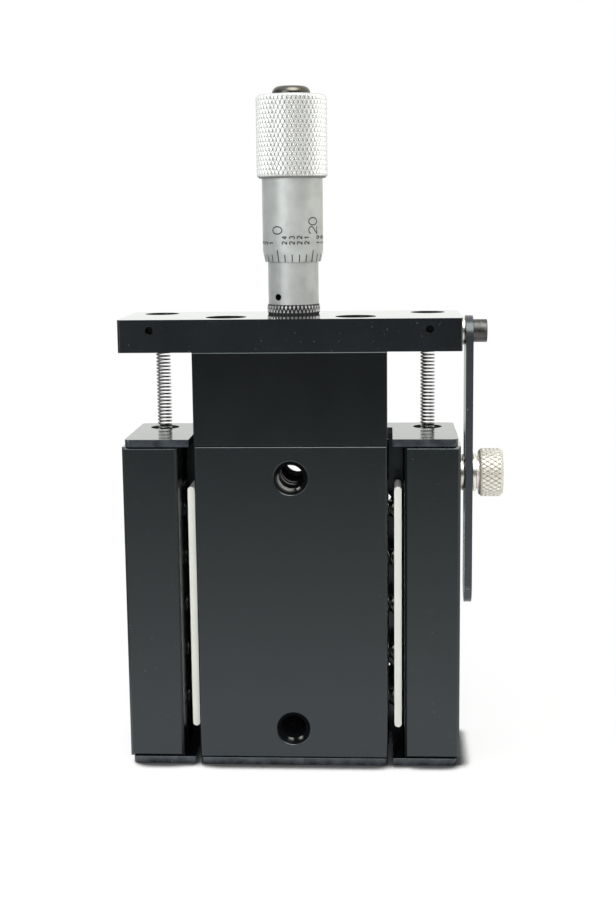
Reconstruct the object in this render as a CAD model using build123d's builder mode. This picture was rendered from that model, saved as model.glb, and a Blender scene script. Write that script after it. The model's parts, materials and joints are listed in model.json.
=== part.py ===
"""Ball bearing linear stage with a micrometer drive, standing on its end.

A fixed slide (base, spacer and micrometer plate) sits between the two legs of a U-shaped
carriage. Balls in two retainers roll between hardened way rods. The micrometer spindle pushes the
carriage down, two extension springs pull it back up, and a slotted bar locks it.

Millimetres. The origin is the middle of the base's two mounting holes, on its mounting face.
X points right, Y from the base's mounting face to the carriage's, and Z along the travel.
"""
from build123d import *
import os
from math import cos, radians, sin, sqrt

os.makedirs("parts", exist_ok=True)

# Carriage: a U-shaped block, open towards the base's mounting face
stage_width = 66.0
carriage_depth = 22.9
carriage_length = 63.1
leg_width = 10.85
way_gap = 3.35
web_thickness = 7.5
leg_setback = 0.3
edge_break = 0.5

# End plates of the carriage and of the base
end_plate_thickness = 1.45
end_plate_side_inset = 0.56
end_plate_clearance = 1.0
end_plate_corner = 1.0
end_screw_inset = 6.3

# Base slide, its spacer and the plate that holds the micrometer
base_thickness = 15.2
base_length = 63.3
base_edge_break = 0.3
spacer_height = 18.2
plate_overhang = 0.2
plate_thickness = 6.35
plate_corner = 0.6

# Tapped mounting holes, with walls left at the outside of the thread
mounting_spacing = 50.8
mounting_hole_diameter = 6.35
mounting_rim_diameter = 6.9
load_hole_diameter = 6.35
corner_hole_circle = 50.8
corner_hole_diameter = 4.17

# Ball ways
ball_diameter = 3.969
ball_count = 5
ball_pitch = 9.83
rod_diameter = 2.381
contact_angle = 35.0
rolling_gap = 0.04
way_depth = 10.6

# Ball retainers
retainer_thickness = 1.47
retainer_width = 7.9
retainer_length = 49.8
retainer_drop = 2.4
retainer_shift = {"left": 0.1, "right": 0.4}
retainer_hole_gap = 0.08
retainer_corner = 0.7

# Preload of the left leg's rods
preload_strip_thickness = 1.2
preload_screw_diameter = 3.5
preload_screw_sink = 0.8
preload_screw_spacing = 22.0
preload_socket_flats = 1.6

# Travel each way from the middle
half_travel = 6.35

# Clearances: seats, running fits and free space round the spindle
seat_gap = 0.02
running_gap = 0.05
relief_gap = 0.5

# Extension springs and the pins that hold them
spring_inset = 6.05
spring_line = 17.6
spring_outside_diameter = 3.0
wire_diameter = 0.36
coil_pitch = 0.715
hook_leg = 1.2
plate_bore_diameter = 6.9
carriage_bore_diameter = 5.8
spring_pin_diameter = 1.5
upper_pin_drop = 2.1
lower_pin_depth = 6.55
pin_sink = 1.5
pin_engagement = 1.0

# Screws
plate_screw_inset = 6.1
plate_screw_line = 6.7
plate_screw_diameter = 4.17
plate_screw_head_diameter = 6.86
plate_screw_head_height = 4.17
plate_screw_socket = 3.57
plate_screw_bite = 9.0
counterbore_diameter = 8.0
counterbore_depth = 4.6
end_screw_diameter = 2.84
end_screw_head_diameter = 5.3
end_screw_head_angle = 90.0
end_screw_length = 7.5
end_screw_socket = 1.9
thread_runout = 1.0

# Micrometer head, heights above the plate
micrometer_line = 16.1
spindle_diameter = 4.76
spindle_thread_diameter = 6.0
spindle_seat_diameter = 6.4
spindle_overrun = 1.0
shank_diameter = 9.525
shank_reach = 1.5
lock_nut_diameter = 10.6
lock_nut_height = 2.0
lock_nut_edge_break = 0.25
sleeve_diameter = 10.1
sleeve_shoulder_height = 18.0
sleeve_height = 24.0
adjusting_nut_diameter = 9.3
adjusting_nut_height = 5.0
adjusting_seat_diameter = 8.4
spanner_hole_diameter = 1.2
spanner_hole_height = 3.5
spanner_hole_angle = -33.6
spanner_hole_depth = 1.6
thimble_gap = 0.1
thimble_neck_wall = 0.6
thimble_roof = 1.5
thimble_edge_height = 10.4
thimble_edge_diameter = 11.1
thimble_bevel_height = 12.7
thimble_diameter = 12.08
grip_start_height = 26.8
grip_end_height = 42.9
grip_diameter = 14.06
grip_seat_diameter = 10.8
grip_edge_break = 0.5
end_cap_recess = 2.0
end_cap_diameter = 7.6
end_cap_rim_stand = 1.6
end_cap_crown = 0.2
end_cap_shoulder = 1.4
cap_stem_diameter = 2.5
cap_stem_length = 6.0
thrust_button_diameter = 4.4
thrust_button_stem_diameter = 2.4
thrust_button_stand = 0.4

# Lock bar, its screw and the thumbscrew
lock_bar_width = 8.6
lock_bar_thickness = 1.45
lock_bar_line = 9.7
lock_bar_top_drop = 0.15
lock_bar_length = 57.7
lock_bar_corner = 4.2
lock_spacer_thickness = 0.9
lock_spacer_diameter = 5.5
lock_screw_diameter = 2.84
lock_screw_head_diameter = 4.5
lock_screw_head_height = 2.8
lock_screw_bite = 4.6
lock_screw_socket = 2.4
thumb_height = 24.9
thumb_shank_diameter = 3.4
thumb_shank_bite = 6.0
thumb_knob_diameter = 9.6
thumb_knob_thickness = 4.7
thumb_shoulder_diameter = 6.6
thumb_shoulder_thickness = 0.55
clamp_washer_diameter = 7.7
clamp_washer_thickness = 0.8
backing_washer_diameter = 7.2
slot_clearance = 0.15

# Places worked out from the sizes
half_width = stage_width / 2
leg_inside = half_width - leg_width
half_base = leg_inside - way_gap
base_width = 2 * half_base
plate_width = stage_width + 2 * plate_overhang
end_screw_spacing = base_width - 2 * end_screw_inset
plate_screw_spacing = base_width - 2 * plate_screw_inset
carriage_top = carriage_length / 2
carriage_bottom = -carriage_top
stage_bottom = carriage_bottom - end_plate_thickness
carriage_front = leg_setback
carriage_back = carriage_front + carriage_depth
carriage_middle = carriage_front + carriage_depth / 2
web_front = carriage_back - web_thickness
web_middle = carriage_back - web_thickness / 2
base_bottom = carriage_bottom
base_top = base_bottom + base_length
base_middle = base_thickness / 2
plate_bottom = base_top + spacer_height
plate_top = plate_bottom + plate_thickness
plate_middle = plate_bottom + plate_thickness / 2
ball_line = (half_base + leg_inside) / 2
ball_radius = ball_diameter / 2
rod_radius = rod_diameter / 2
contact_reach = ball_radius + rod_radius + rolling_gap
rod_offset_x = contact_reach * cos(radians(contact_angle))
rod_offset_y = contact_reach * sin(radians(contact_angle))
base_rod_line = ball_line - rod_offset_x
carriage_rod_line = ball_line + rod_offset_x
channel_width = 2 * (rod_offset_y + rod_radius + seat_gap)
base_channel_floor = base_rod_line - rod_radius - seat_gap
carriage_channel_floor = carriage_rod_line + rod_radius + seat_gap
preload_channel_floor = carriage_channel_floor + preload_strip_thickness + seat_gap
spring_x = half_width - spring_inset
spring_spacing = 2 * spring_x
upper_pin_height = plate_top - upper_pin_drop
lower_pin_height = carriage_top - lower_pin_depth
upper_pin_reach = spring_line + plate_bore_diameter / 2 + pin_engagement - carriage_front
lower_pin_reach = carriage_back - spring_line + carriage_bore_diameter / 2 + pin_engagement
corner_hole_spacing = corner_hole_circle / sqrt(2)
sleeve_bore = spindle_diameter / 2 + running_gap
thread_bore = spindle_thread_diameter / 2 + running_gap
spindle_tip = carriage_top + end_plate_thickness + thrust_button_stand
lock_bar_inside = plate_width / 2 + lock_spacer_thickness
lock_bar_outside = lock_bar_inside + lock_bar_thickness
lock_bar_top = plate_top - lock_bar_top_drop
washer_outside = lock_bar_outside + clamp_washer_thickness
knob_inside = washer_outside + thumb_shoulder_thickness
spindle_thread_start = lock_nut_height + half_travel + spindle_overrun
spindle_seat_start = sleeve_height + half_travel + spindle_overrun
cap_seat_height = grip_end_height - end_cap_recess
end_cap_rim_height = grip_end_height + end_cap_rim_stand
end_cap_crown_height = end_cap_rim_height + end_cap_crown
base_foot = Plane(origin=(0, base_middle, stage_bottom), x_dir=(1, 0, 0), z_dir=(0, 0, -1))
carriage_foot = Plane(origin=(0, web_middle, stage_bottom), x_dir=(1, 0, 0), z_dir=(0, 0, -1))
carriage_head = Plane(origin=(0, web_middle, carriage_top + end_plate_thickness))
micrometer_section = Plane(origin=(0, micrometer_line, plate_top), x_dir=(1, 0, 0), z_dir=(0, -1, 0))
micrometer_axis = Axis((0, micrometer_line, plate_top), (0, 0, 1))
end_screw_places = [(-end_screw_spacing / 2, 0), (end_screw_spacing / 2, 0)]


def front_plane(depth):
    """Plane facing the viewer, this far behind the mounting face; its y runs up."""
    return Plane.XZ.offset(-depth)


def back_plane(depth):
    """Plane facing away from the viewer; its x runs left and its y runs up."""
    return Plane(origin=(0, depth, 0), x_dir=(-1, 0, 0), z_dir=(0, 1, 0))


def side_plane(reach):
    """Plane facing right at this X; its x runs away from the viewer and its y up."""
    return Plane.YZ.offset(reach)


def micrometer_plane(height):
    """Level plane with its origin on the micrometer's axis, this far above the plate."""
    return Plane(origin=(0, micrometer_line, plate_top + height))


def end_plate_section():
    """Outline of a carriage end plate: a U that clears the base and laps over the ball ways."""
    notch_depth = base_thickness + end_plate_clearance - carriage_front
    with BuildSketch() as section:
        with Locations((0, carriage_middle)):
            Rectangle(2 * (half_width - end_plate_side_inset), carriage_depth)
        with Locations((0, carriage_front + notch_depth / 2)):
            Rectangle(base_width + 2 * end_plate_clearance, notch_depth, mode=Mode.SUBTRACT)
    return section.sketch


# Fixed slide between the legs
with BuildPart() as base_slide:
    with BuildSketch(Plane.XY.offset(base_bottom)):
        with Locations((0, base_middle)):
            Rectangle(base_width, base_thickness)
    extrude(amount=base_length)
    chamfer(base_slide.faces().sort_by(Axis.Y)[0].edges(), length=base_edge_break)
    with BuildSketch(Plane.XY.offset(base_bottom)):
        for side in (-1, 1):
            with Locations((side * half_base, way_depth)):
                Rectangle(2 * (half_base - base_channel_floor), channel_width)
        with Locations((0, micrometer_line)):
            Circle(spindle_diameter / 2 + relief_gap)
    extrude(amount=base_length, mode=Mode.SUBTRACT)
    with Locations(front_plane(0)):
        with GridLocations(0, mounting_spacing, 1, 2):
            CounterSinkHole(mounting_hole_diameter / 2, mounting_rim_diameter / 2, counter_sink_angle=90)
    with BuildSketch(Plane.XY.offset(base_top)):
        with Locations((0, plate_screw_line)):
            with GridLocations(plate_screw_spacing, 0, 2, 1):
                Circle(plate_screw_diameter / 2 + seat_gap)
    extrude(amount=-plate_screw_bite - thread_runout, mode=Mode.SUBTRACT)
    with BuildSketch(Plane.XY.offset(base_bottom)):
        with Locations((0, base_middle)):
            with GridLocations(end_screw_spacing, 0, 2, 1):
                Circle(end_screw_diameter / 2 + seat_gap)
    extrude(amount=end_screw_length - end_plate_thickness + thread_runout, mode=Mode.SUBTRACT)
base_slide.part.label = "base_slide"
export_step(base_slide.part, "parts/base_slide.step")

# Plate on the foot of the base
with BuildPart() as base_end_plate:
    with BuildSketch(Plane.XY.offset(stage_bottom)):
        with Locations((0, base_middle)):
            RectangleRounded(base_width, base_thickness, end_plate_corner)
    extrude(amount=end_plate_thickness)
    with Locations(base_foot):
        with GridLocations(end_screw_spacing, 0, 2, 1):
            CounterSinkHole(
                end_screw_diameter / 2 + seat_gap,
                end_screw_head_diameter / 2 + seat_gap,
                counter_sink_angle=end_screw_head_angle,
            )
base_end_plate.part.label = "base_end_plate"
export_step(base_end_plate.part, "parts/base_end_plate.step")


def flat_head_screws(seat):
    """A pair of countersunk screws, heads flush with the seat plane, with hexagon sockets."""
    head_radius = end_screw_head_diameter / 2
    shank_radius = end_screw_diameter / 2
    head_height = head_radius - shank_radius
    with BuildPart() as screws:
        for place in end_screw_places:
            with BuildSketch(seat):
                with Locations(place):
                    Circle(shank_radius)
            extrude(amount=-end_screw_length)
            with BuildSketch(seat):
                with Locations(place):
                    Circle(head_radius)
            with BuildSketch(seat.offset(-head_height)):
                with Locations(place):
                    Circle(shank_radius)
            loft()
            with BuildSketch(seat):
                with Locations(place):
                    RegularPolygon(end_screw_socket / sqrt(3), 6)
            extrude(amount=-head_height, mode=Mode.SUBTRACT)
    return screws.part


base_end_plate_screws = flat_head_screws(base_foot)
base_end_plate_screws.label = "base_end_plate_screws"
export_step(base_end_plate_screws, "parts/base_end_plate_screws.step")

# Spacer block between the base and the micrometer plate
with BuildPart() as spacer_block:
    with BuildSketch(Plane.XY.offset(base_top)):
        with Locations((0, base_middle)):
            Rectangle(base_width, base_thickness)
    extrude(amount=spacer_height)
    chamfer(spacer_block.faces().sort_by(Axis.Y)[0].edges(), length=base_edge_break / 2)
    with BuildSketch(Plane.XY.offset(base_top)):
        with Locations((0, micrometer_line)):
            Circle(spindle_diameter / 2 + relief_gap)
        with Locations((0, plate_screw_line)):
            with GridLocations(plate_screw_spacing, 0, 2, 1):
                Circle(plate_screw_diameter / 2 + seat_gap)
    extrude(amount=spacer_height, mode=Mode.SUBTRACT)
    with BuildSketch(micrometer_plane(-plate_thickness)):
        Circle(shank_diameter / 2 + relief_gap)
    extrude(amount=-shank_reach - relief_gap, mode=Mode.SUBTRACT)
spacer_block.part.label = "spacer_block"
export_step(spacer_block.part, "parts/spacer_block.step")

# Plate that carries the micrometer, the springs and the lock bar
with BuildPart() as micrometer_plate:
    with BuildSketch(Plane.XY.offset(plate_bottom)):
        with Locations((0, carriage_middle)):
            RectangleRounded(plate_width, carriage_depth, plate_corner)
        with Locations((0, micrometer_line)):
            Circle(shank_diameter / 2 + seat_gap, mode=Mode.SUBTRACT)
        with Locations((0, spring_line)):
            with GridLocations(spring_spacing, 0, 2, 1):
                Circle(plate_bore_diameter / 2, mode=Mode.SUBTRACT)
    extrude(amount=plate_thickness)
    with Locations(Plane(origin=(0, plate_screw_line, plate_top))):
        with GridLocations(plate_screw_spacing, 0, 2, 1):
            CounterBoreHole(plate_screw_diameter / 2 + seat_gap, counterbore_diameter / 2, counterbore_depth)
    with BuildSketch(front_plane(carriage_front)):
        with Locations((0, upper_pin_height)):
            with GridLocations(spring_spacing, 0, 2, 1):
                Circle(spring_pin_diameter / 2 + seat_gap)
    extrude(amount=-(upper_pin_reach + seat_gap), mode=Mode.SUBTRACT)
    with BuildSketch(side_plane(plate_width / 2)):
        with Locations((lock_bar_line, plate_middle)):
            Circle(lock_screw_diameter / 2 + seat_gap)
    extrude(amount=-lock_screw_bite - relief_gap, mode=Mode.SUBTRACT)
micrometer_plate.part.label = "micrometer_plate"
export_step(micrometer_plate.part, "parts/micrometer_plate.step")

# Two long socket head screws through the plate and spacer into the base
with BuildPart() as plate_screws:
    head_bottom = plate_top - counterbore_depth
    shank_bottom = base_top - plate_screw_bite
    with BuildSketch(Plane.XY.offset(shank_bottom)):
        with Locations((0, plate_screw_line)):
            with GridLocations(plate_screw_spacing, 0, 2, 1):
                Circle(plate_screw_diameter / 2)
    extrude(amount=head_bottom - shank_bottom)
    with BuildSketch(Plane.XY.offset(head_bottom)):
        with Locations((0, plate_screw_line)):
            with GridLocations(plate_screw_spacing, 0, 2, 1):
                Circle(plate_screw_head_diameter / 2)
    extrude(amount=plate_screw_head_height)
    with BuildSketch(Plane.XY.offset(head_bottom + plate_screw_head_height)):
        with Locations((0, plate_screw_line)):
            with GridLocations(plate_screw_spacing, 0, 2, 1):
                RegularPolygon(plate_screw_socket / sqrt(3), 6)
    extrude(amount=-plate_screw_head_height / 2, mode=Mode.SUBTRACT)
plate_screws.part.label = "plate_screws"
export_step(plate_screws.part, "parts/plate_screws.step")


def spring_pins(plane, height, reach):
    """Two straight pins, pressed in from a face and sunk a little, that hold the spring hooks."""
    with BuildPart() as pins:
        with BuildSketch(plane.offset(-pin_sink)):
            with Locations((0, height)):
                with GridLocations(spring_spacing, 0, 2, 1):
                    Circle(spring_pin_diameter / 2)
        extrude(amount=-(reach - pin_sink))
    return pins.part


# Pins in the plate, from its front face to just behind the springs
upper_spring_pins = spring_pins(front_plane(carriage_front), upper_pin_height, upper_pin_reach)
upper_spring_pins.label = "upper_spring_pins"
export_step(upper_spring_pins, "parts/upper_spring_pins.step")

# Pins in the carriage, from its back face to just in front of the springs
lower_spring_pins = spring_pins(back_plane(carriage_back), lower_pin_height, lower_pin_reach)
lower_spring_pins.label = "lower_spring_pins"
export_step(lower_spring_pins, "parts/lower_spring_pins.step")


def way_rods(line, bottom, length):
    """Four hardened rods: two in each side's channel, either side of the ball line."""
    with BuildPart() as rods:
        with BuildSketch(Plane.XY.offset(bottom)):
            with Locations((0, way_depth)):
                with GridLocations(2 * line, 2 * rod_offset_y, 2, 2):
                    Circle(rod_radius)
        extrude(amount=length)
    return rods.part


base_way_rods = way_rods(base_rod_line, base_bottom, base_length)
base_way_rods.label = "base_way_rods"
export_step(base_way_rods, "parts/base_way_rods.step")

carriage_way_rods = way_rods(carriage_rod_line, carriage_bottom, carriage_length)
carriage_way_rods.label = "carriage_way_rods"
export_step(carriage_way_rods, "parts/carriage_way_rods.step")

# U-shaped carriage
with BuildPart() as carriage:
    with BuildSketch(Plane.XY.offset(carriage_bottom)):
        with Locations((0, carriage_middle)):
            Rectangle(stage_width, carriage_depth)
        with Locations((0, (carriage_front + web_front) / 2)):
            Rectangle(2 * leg_inside, web_front - carriage_front, mode=Mode.SUBTRACT)
    extrude(amount=carriage_length)
    leg_faces = carriage.faces().filter_by(Axis.Y).group_by(Axis.Y)[0]
    chamfer(leg_faces.edges(), length=edge_break)
    chamfer(carriage.faces().sort_by(Axis.Y)[-1].edges(), length=edge_break)
    with BuildSketch(Plane.XY.offset(carriage_bottom)):
        with Locations((leg_inside, way_depth)):
            Rectangle(2 * (carriage_channel_floor - leg_inside), channel_width)
        with Locations((-leg_inside, way_depth)):
            Rectangle(2 * (preload_channel_floor - leg_inside), channel_width)
    extrude(amount=carriage_length, mode=Mode.SUBTRACT)
    with Locations(back_plane(carriage_back)):
        with GridLocations(0, mounting_spacing, 1, 2):
            load_radius = load_hole_diameter / 2
            CounterSinkHole(load_radius, load_radius + edge_break, counter_sink_angle=90)
        with GridLocations(corner_hole_spacing, corner_hole_spacing, 2, 2):
            corner_radius = corner_hole_diameter / 2
            CounterSinkHole(corner_radius, corner_radius + edge_break, counter_sink_angle=90)
    with BuildSketch(Plane.XY.offset(carriage_top)):
        with Locations((0, spring_line)):
            with GridLocations(spring_spacing, 0, 2, 1):
                Circle(carriage_bore_diameter / 2)
    extrude(amount=-(lower_pin_depth + spring_pin_diameter + hook_leg), mode=Mode.SUBTRACT)
    with BuildSketch(back_plane(carriage_back)):
        with Locations((0, lower_pin_height)):
            with GridLocations(spring_spacing, 0, 2, 1):
                Circle(spring_pin_diameter / 2 + seat_gap)
    extrude(amount=-(lower_pin_reach + seat_gap), mode=Mode.SUBTRACT)
    for end, inward in ((carriage_top, -1), (carriage_bottom, 1)):
        with BuildSketch(Plane.XY.offset(end)):
            with Locations((0, web_middle)):
                with GridLocations(end_screw_spacing, 0, 2, 1):
                    Circle(end_screw_diameter / 2 + seat_gap)
        extrude(amount=inward * (end_screw_length - end_plate_thickness + thread_runout), mode=Mode.SUBTRACT)
    with BuildSketch(side_plane(half_width)):
        with Locations((lock_bar_line, thumb_height)):
            Circle(thumb_shank_diameter / 2 + running_gap)
    extrude(amount=-thumb_shank_bite - thread_runout, mode=Mode.SUBTRACT)
    with BuildSketch(side_plane(-half_width)):
        with Locations((way_depth, 0)):
            with GridLocations(0, preload_screw_spacing, 1, 3):
                Circle(preload_screw_diameter / 2 + seat_gap)
    extrude(amount=half_width - preload_channel_floor, mode=Mode.SUBTRACT)
carriage.part.label = "carriage"
export_step(carriage.part, "parts/carriage.step")

# End plates of the carriage, which lap over the ball ways and keep the retainers in
for end_name, bottom, outer_seat in (
    ("top", carriage_top, carriage_head),
    ("bottom", stage_bottom, carriage_foot),
):
    with BuildPart() as end_plate:
        with BuildSketch(Plane.XY.offset(bottom)):
            add(end_plate_section())
            if end_name == "top":
                with Locations((0, micrometer_line)):
                    Circle(spindle_diameter / 2)
        extrude(amount=end_plate_thickness)
        corner_edges = end_plate.edges().filter_by(Axis.Z).group_by(Axis.X)
        fillet(corner_edges[0] + corner_edges[-1], radius=end_plate_corner)
        with Locations(outer_seat):
            with GridLocations(end_screw_spacing, 0, 2, 1):
                CounterSinkHole(
                    end_screw_diameter / 2 + seat_gap,
                    end_screw_head_diameter / 2 + seat_gap,
                    counter_sink_angle=end_screw_head_angle,
                )
        if end_name == "top":
            with BuildSketch(Plane.XY.offset(bottom)):
                with Locations((0, spring_line)):
                    with GridLocations(spring_spacing, 0, 2, 1):
                        Circle(carriage_bore_diameter / 2)
                with Locations((0, micrometer_line)):
                    Circle(thrust_button_stem_diameter / 2 + seat_gap)
            extrude(amount=end_plate_thickness, mode=Mode.SUBTRACT)
    end_plate.part.label = f"carriage_{end_name}_end_plate"
    export_step(end_plate.part, f"parts/carriage_{end_name}_end_plate.step")

# Countersunk screws of the carriage's end plates
with BuildPart() as carriage_end_plate_screws:
    add(flat_head_screws(carriage_head))
    add(flat_head_screws(carriage_foot))
carriage_end_plate_screws.part.label = "carriage_end_plate_screws"
export_step(carriage_end_plate_screws.part, "parts/carriage_end_plate_screws.step")

# Preload strip behind the left leg's rods, and the set screws that press on it
with BuildPart() as preload_strip:
    strip_middle = carriage_channel_floor + preload_strip_thickness / 2
    with BuildSketch(Plane.XY.offset(carriage_bottom)):
        with Locations((-strip_middle, way_depth)):
            Rectangle(preload_strip_thickness, channel_width - 2 * seat_gap)
    extrude(amount=carriage_length)
preload_strip.part.label = "preload_strip"
export_step(preload_strip.part, "parts/preload_strip.step")

with BuildPart() as preload_set_screws:
    screw_face = half_width - preload_screw_sink
    with BuildSketch(side_plane(-screw_face)):
        with Locations((way_depth, 0)):
            with GridLocations(0, preload_screw_spacing, 1, 3):
                Circle(preload_screw_diameter / 2)
    extrude(amount=screw_face - preload_channel_floor)
    with BuildSketch(side_plane(-screw_face)):
        with Locations((way_depth, 0)):
            with GridLocations(0, preload_screw_spacing, 1, 3):
                RegularPolygon(preload_socket_flats / sqrt(3), 6)
    extrude(amount=preload_socket_flats, mode=Mode.SUBTRACT)
preload_set_screws.part.label = "preload_set_screws"
export_step(preload_set_screws.part, "parts/preload_set_screws.step")

# Ball retainers and balls, one row each side
for side, sign in (("left", -1), ("right", 1)):
    retainer_x = sign * ball_line + retainer_shift[side]
    with BuildPart() as retainer:
        with BuildSketch(Plane.XZ.offset(-(way_depth - retainer_width / 2))):
            with Locations((retainer_x, -retainer_drop)):
                RectangleRounded(retainer_thickness, retainer_length, retainer_corner)
        extrude(amount=-retainer_width)
        with BuildSketch(side_plane(retainer_x - retainer_thickness)):
            with Locations((way_depth, -retainer_drop)):
                with GridLocations(0, ball_pitch, 1, ball_count):
                    Circle(ball_radius + retainer_hole_gap)
        extrude(amount=2 * retainer_thickness, mode=Mode.SUBTRACT)
    retainer.part.label = f"{side}_ball_retainer"
    export_step(retainer.part, f"parts/{side}_ball_retainer.step")

    with BuildPart() as balls:
        with Locations(Plane(origin=(sign * ball_line, way_depth, -retainer_drop), z_dir=(1, 0, 0))):
            with GridLocations(ball_pitch, 0, ball_count, 1):
                Sphere(ball_radius)
    balls.part.label = f"{side}_balls"
    export_step(balls.part, f"parts/{side}_balls.step")


def spring_hook(coil_end, up):
    """Wire that rises from the last coil and bends over the pin in a half circle."""
    radius = (spring_outside_diameter - wire_diameter) / 2
    start = coil_end - up * coil_pitch / 2
    bend = coil_end + up * hook_leg
    with BuildPart() as hook:
        with BuildLine():
            Line((radius, 0, start), (radius, 0, bend))
            ThreePointArc((radius, 0, bend), (0, 0, bend + up * radius), (-radius, 0, bend))
            Line((-radius, 0, bend), (-radius, 0, bend - up * hook_leg / 2))
        with BuildSketch(Plane(origin=(radius, 0, start), z_dir=(0, 0, up))):
            Circle(wire_diameter / 2)
        sweep()
    return hook.part


# Extension springs: the coils as a ridged sleeve, with a hook over the pin at each end
hook_rise = (spring_outside_diameter - spring_pin_diameter) / 2 - wire_diameter + hook_leg - seat_gap
coil_top = upper_pin_height - hook_rise
coil_bottom = lower_pin_height + hook_rise
coil_outside = spring_outside_diameter / 2
coil_inside = coil_outside - wire_diameter
coil_valley = coil_outside - wire_diameter / 2
coil_count = round((coil_top - coil_bottom) / coil_pitch)
ring_pitch = (coil_top - coil_bottom) / coil_count
with BuildPart() as one_spring:
    with BuildSketch(Plane.XZ):
        with BuildLine():
            ridges = [(coil_valley, coil_bottom)]
            for coil in range(coil_count):
                ridges.append((coil_outside, coil_bottom + (coil + 1 / 2) * ring_pitch))
                ridges.append((coil_valley, coil_bottom + (coil + 1) * ring_pitch))
            Polyline(*ridges, (coil_inside, coil_top), (coil_inside, coil_bottom), close=True)
        make_face()
    revolve(axis=Axis.Z)
    add(spring_hook(coil_top, 1))
    add(spring_hook(coil_bottom, -1))
with BuildPart() as extension_springs:
    with Locations((-spring_x, spring_line, 0), (spring_x, spring_line, 0)):
        add(one_spring.part)
extension_springs.part.label = "extension_springs"
export_step(extension_springs.part, "parts/extension_springs.step")

# Knurled nut that locks the micrometer in the plate
with BuildPart() as micrometer_lock_nut:
    with BuildSketch(micrometer_plane(0)):
        Circle(lock_nut_diameter / 2)
        Circle(shank_diameter / 2 + seat_gap, mode=Mode.SUBTRACT)
    extrude(amount=lock_nut_height)
    nut_rims = micrometer_lock_nut.edges().filter_by(GeomType.CIRCLE).group_by(SortBy.RADIUS)[-1]
    chamfer(nut_rims, length=lock_nut_edge_break)
micrometer_lock_nut.part.label = "micrometer_lock_nut"
export_step(micrometer_lock_nut.part, "parts/micrometer_lock_nut.step")

# Sleeve with its threaded shank through the plate
with BuildPart() as micrometer_sleeve:
    shank_length = plate_thickness + shank_reach
    with BuildSketch(micrometer_plane(-shank_length)):
        Circle(shank_diameter / 2)
    extrude(amount=shank_length + lock_nut_height)
    with BuildSketch(micrometer_plane(lock_nut_height)):
        Circle(sleeve_diameter / 2)
    extrude(amount=sleeve_shoulder_height - lock_nut_height)
    with BuildSketch(micrometer_plane(sleeve_shoulder_height)):
        Circle(adjusting_seat_diameter / 2)
    extrude(amount=sleeve_height - sleeve_shoulder_height)
    with BuildSketch(micrometer_plane(-shank_length)):
        Circle(sleeve_bore)
    extrude(amount=shank_length + sleeve_height, mode=Mode.SUBTRACT)
    with BuildSketch(micrometer_plane(lock_nut_height)):
        Circle(thread_bore)
    extrude(amount=sleeve_height - lock_nut_height, mode=Mode.SUBTRACT)
    spanner_turn = radians(spanner_hole_angle)
    spanner_out = Vector(sin(spanner_turn), -cos(spanner_turn), 0)
    spanner_centre = Vector(0, micrometer_line, plate_top + spanner_hole_height)
    spanner_plane = Plane(origin=spanner_centre + spanner_out * sleeve_diameter / 2, z_dir=spanner_out)
    with BuildSketch(spanner_plane):
        Circle(spanner_hole_diameter / 2)
    extrude(amount=-spanner_hole_depth, mode=Mode.SUBTRACT)
micrometer_sleeve.part.label = "micrometer_sleeve"
export_step(micrometer_sleeve.part, "parts/micrometer_sleeve.step")

# Nut inside the thimble that takes up wear of the thread
with BuildPart() as micrometer_adjusting_nut:
    with BuildSketch(micrometer_plane(sleeve_shoulder_height)):
        Circle(adjusting_nut_diameter / 2)
        Circle(adjusting_seat_diameter / 2 + seat_gap, mode=Mode.SUBTRACT)
    extrude(amount=adjusting_nut_height)
micrometer_adjusting_nut.part.label = "micrometer_adjusting_nut"
export_step(micrometer_adjusting_nut.part, "parts/micrometer_adjusting_nut.step")

# Spindle: plain below, threaded in the sleeve, and seated in the top of the thimble
with BuildPart() as micrometer_spindle:
    tip_height = spindle_tip - plate_top
    with BuildSketch(micrometer_plane(tip_height)):
        Circle(spindle_diameter / 2)
    extrude(amount=spindle_thread_start - tip_height)
    with BuildSketch(micrometer_plane(spindle_thread_start)):
        Circle(spindle_thread_diameter / 2)
    extrude(amount=spindle_seat_start - spindle_thread_start)
    with BuildSketch(micrometer_plane(spindle_seat_start)):
        Circle(spindle_seat_diameter / 2)
    extrude(amount=cap_seat_height - spindle_seat_start)
    with BuildSketch(micrometer_plane(cap_seat_height)):
        Circle(cap_stem_diameter / 2 + seat_gap)
    extrude(amount=-cap_stem_length - relief_gap, mode=Mode.SUBTRACT)
micrometer_spindle.part.label = "micrometer_spindle"
export_step(micrometer_spindle.part, "parts/micrometer_spindle.step")

# Thimble: a shell over the sleeve, closed round the spindle's seat inside the grip
with BuildPart() as micrometer_thimble:
    thimble_bore = sleeve_diameter / 2 + thimble_gap
    neck_outside = grip_seat_diameter / 2
    neck_inside = neck_outside - thimble_neck_wall
    spindle_seat = spindle_seat_diameter / 2 + seat_gap
    seat_bottom = spindle_seat_start + relief_gap
    with BuildSketch(micrometer_section):
        with BuildLine():
            Polyline(
                (thimble_bore, thimble_edge_height),
                (thimble_edge_diameter / 2, thimble_edge_height),
                (thimble_diameter / 2, thimble_bevel_height),
                (thimble_diameter / 2, grip_start_height),
                (neck_outside, grip_start_height),
                (neck_outside, cap_seat_height),
                (spindle_seat, cap_seat_height),
                (spindle_seat, seat_bottom),
                (neck_inside, seat_bottom),
                (neck_inside, grip_start_height - thimble_roof),
                (thimble_bore, grip_start_height - thimble_roof),
                close=True,
            )
        make_face()
    revolve(axis=micrometer_axis)
micrometer_thimble.part.label = "micrometer_thimble"
export_step(micrometer_thimble.part, "parts/micrometer_thimble.step")

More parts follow.
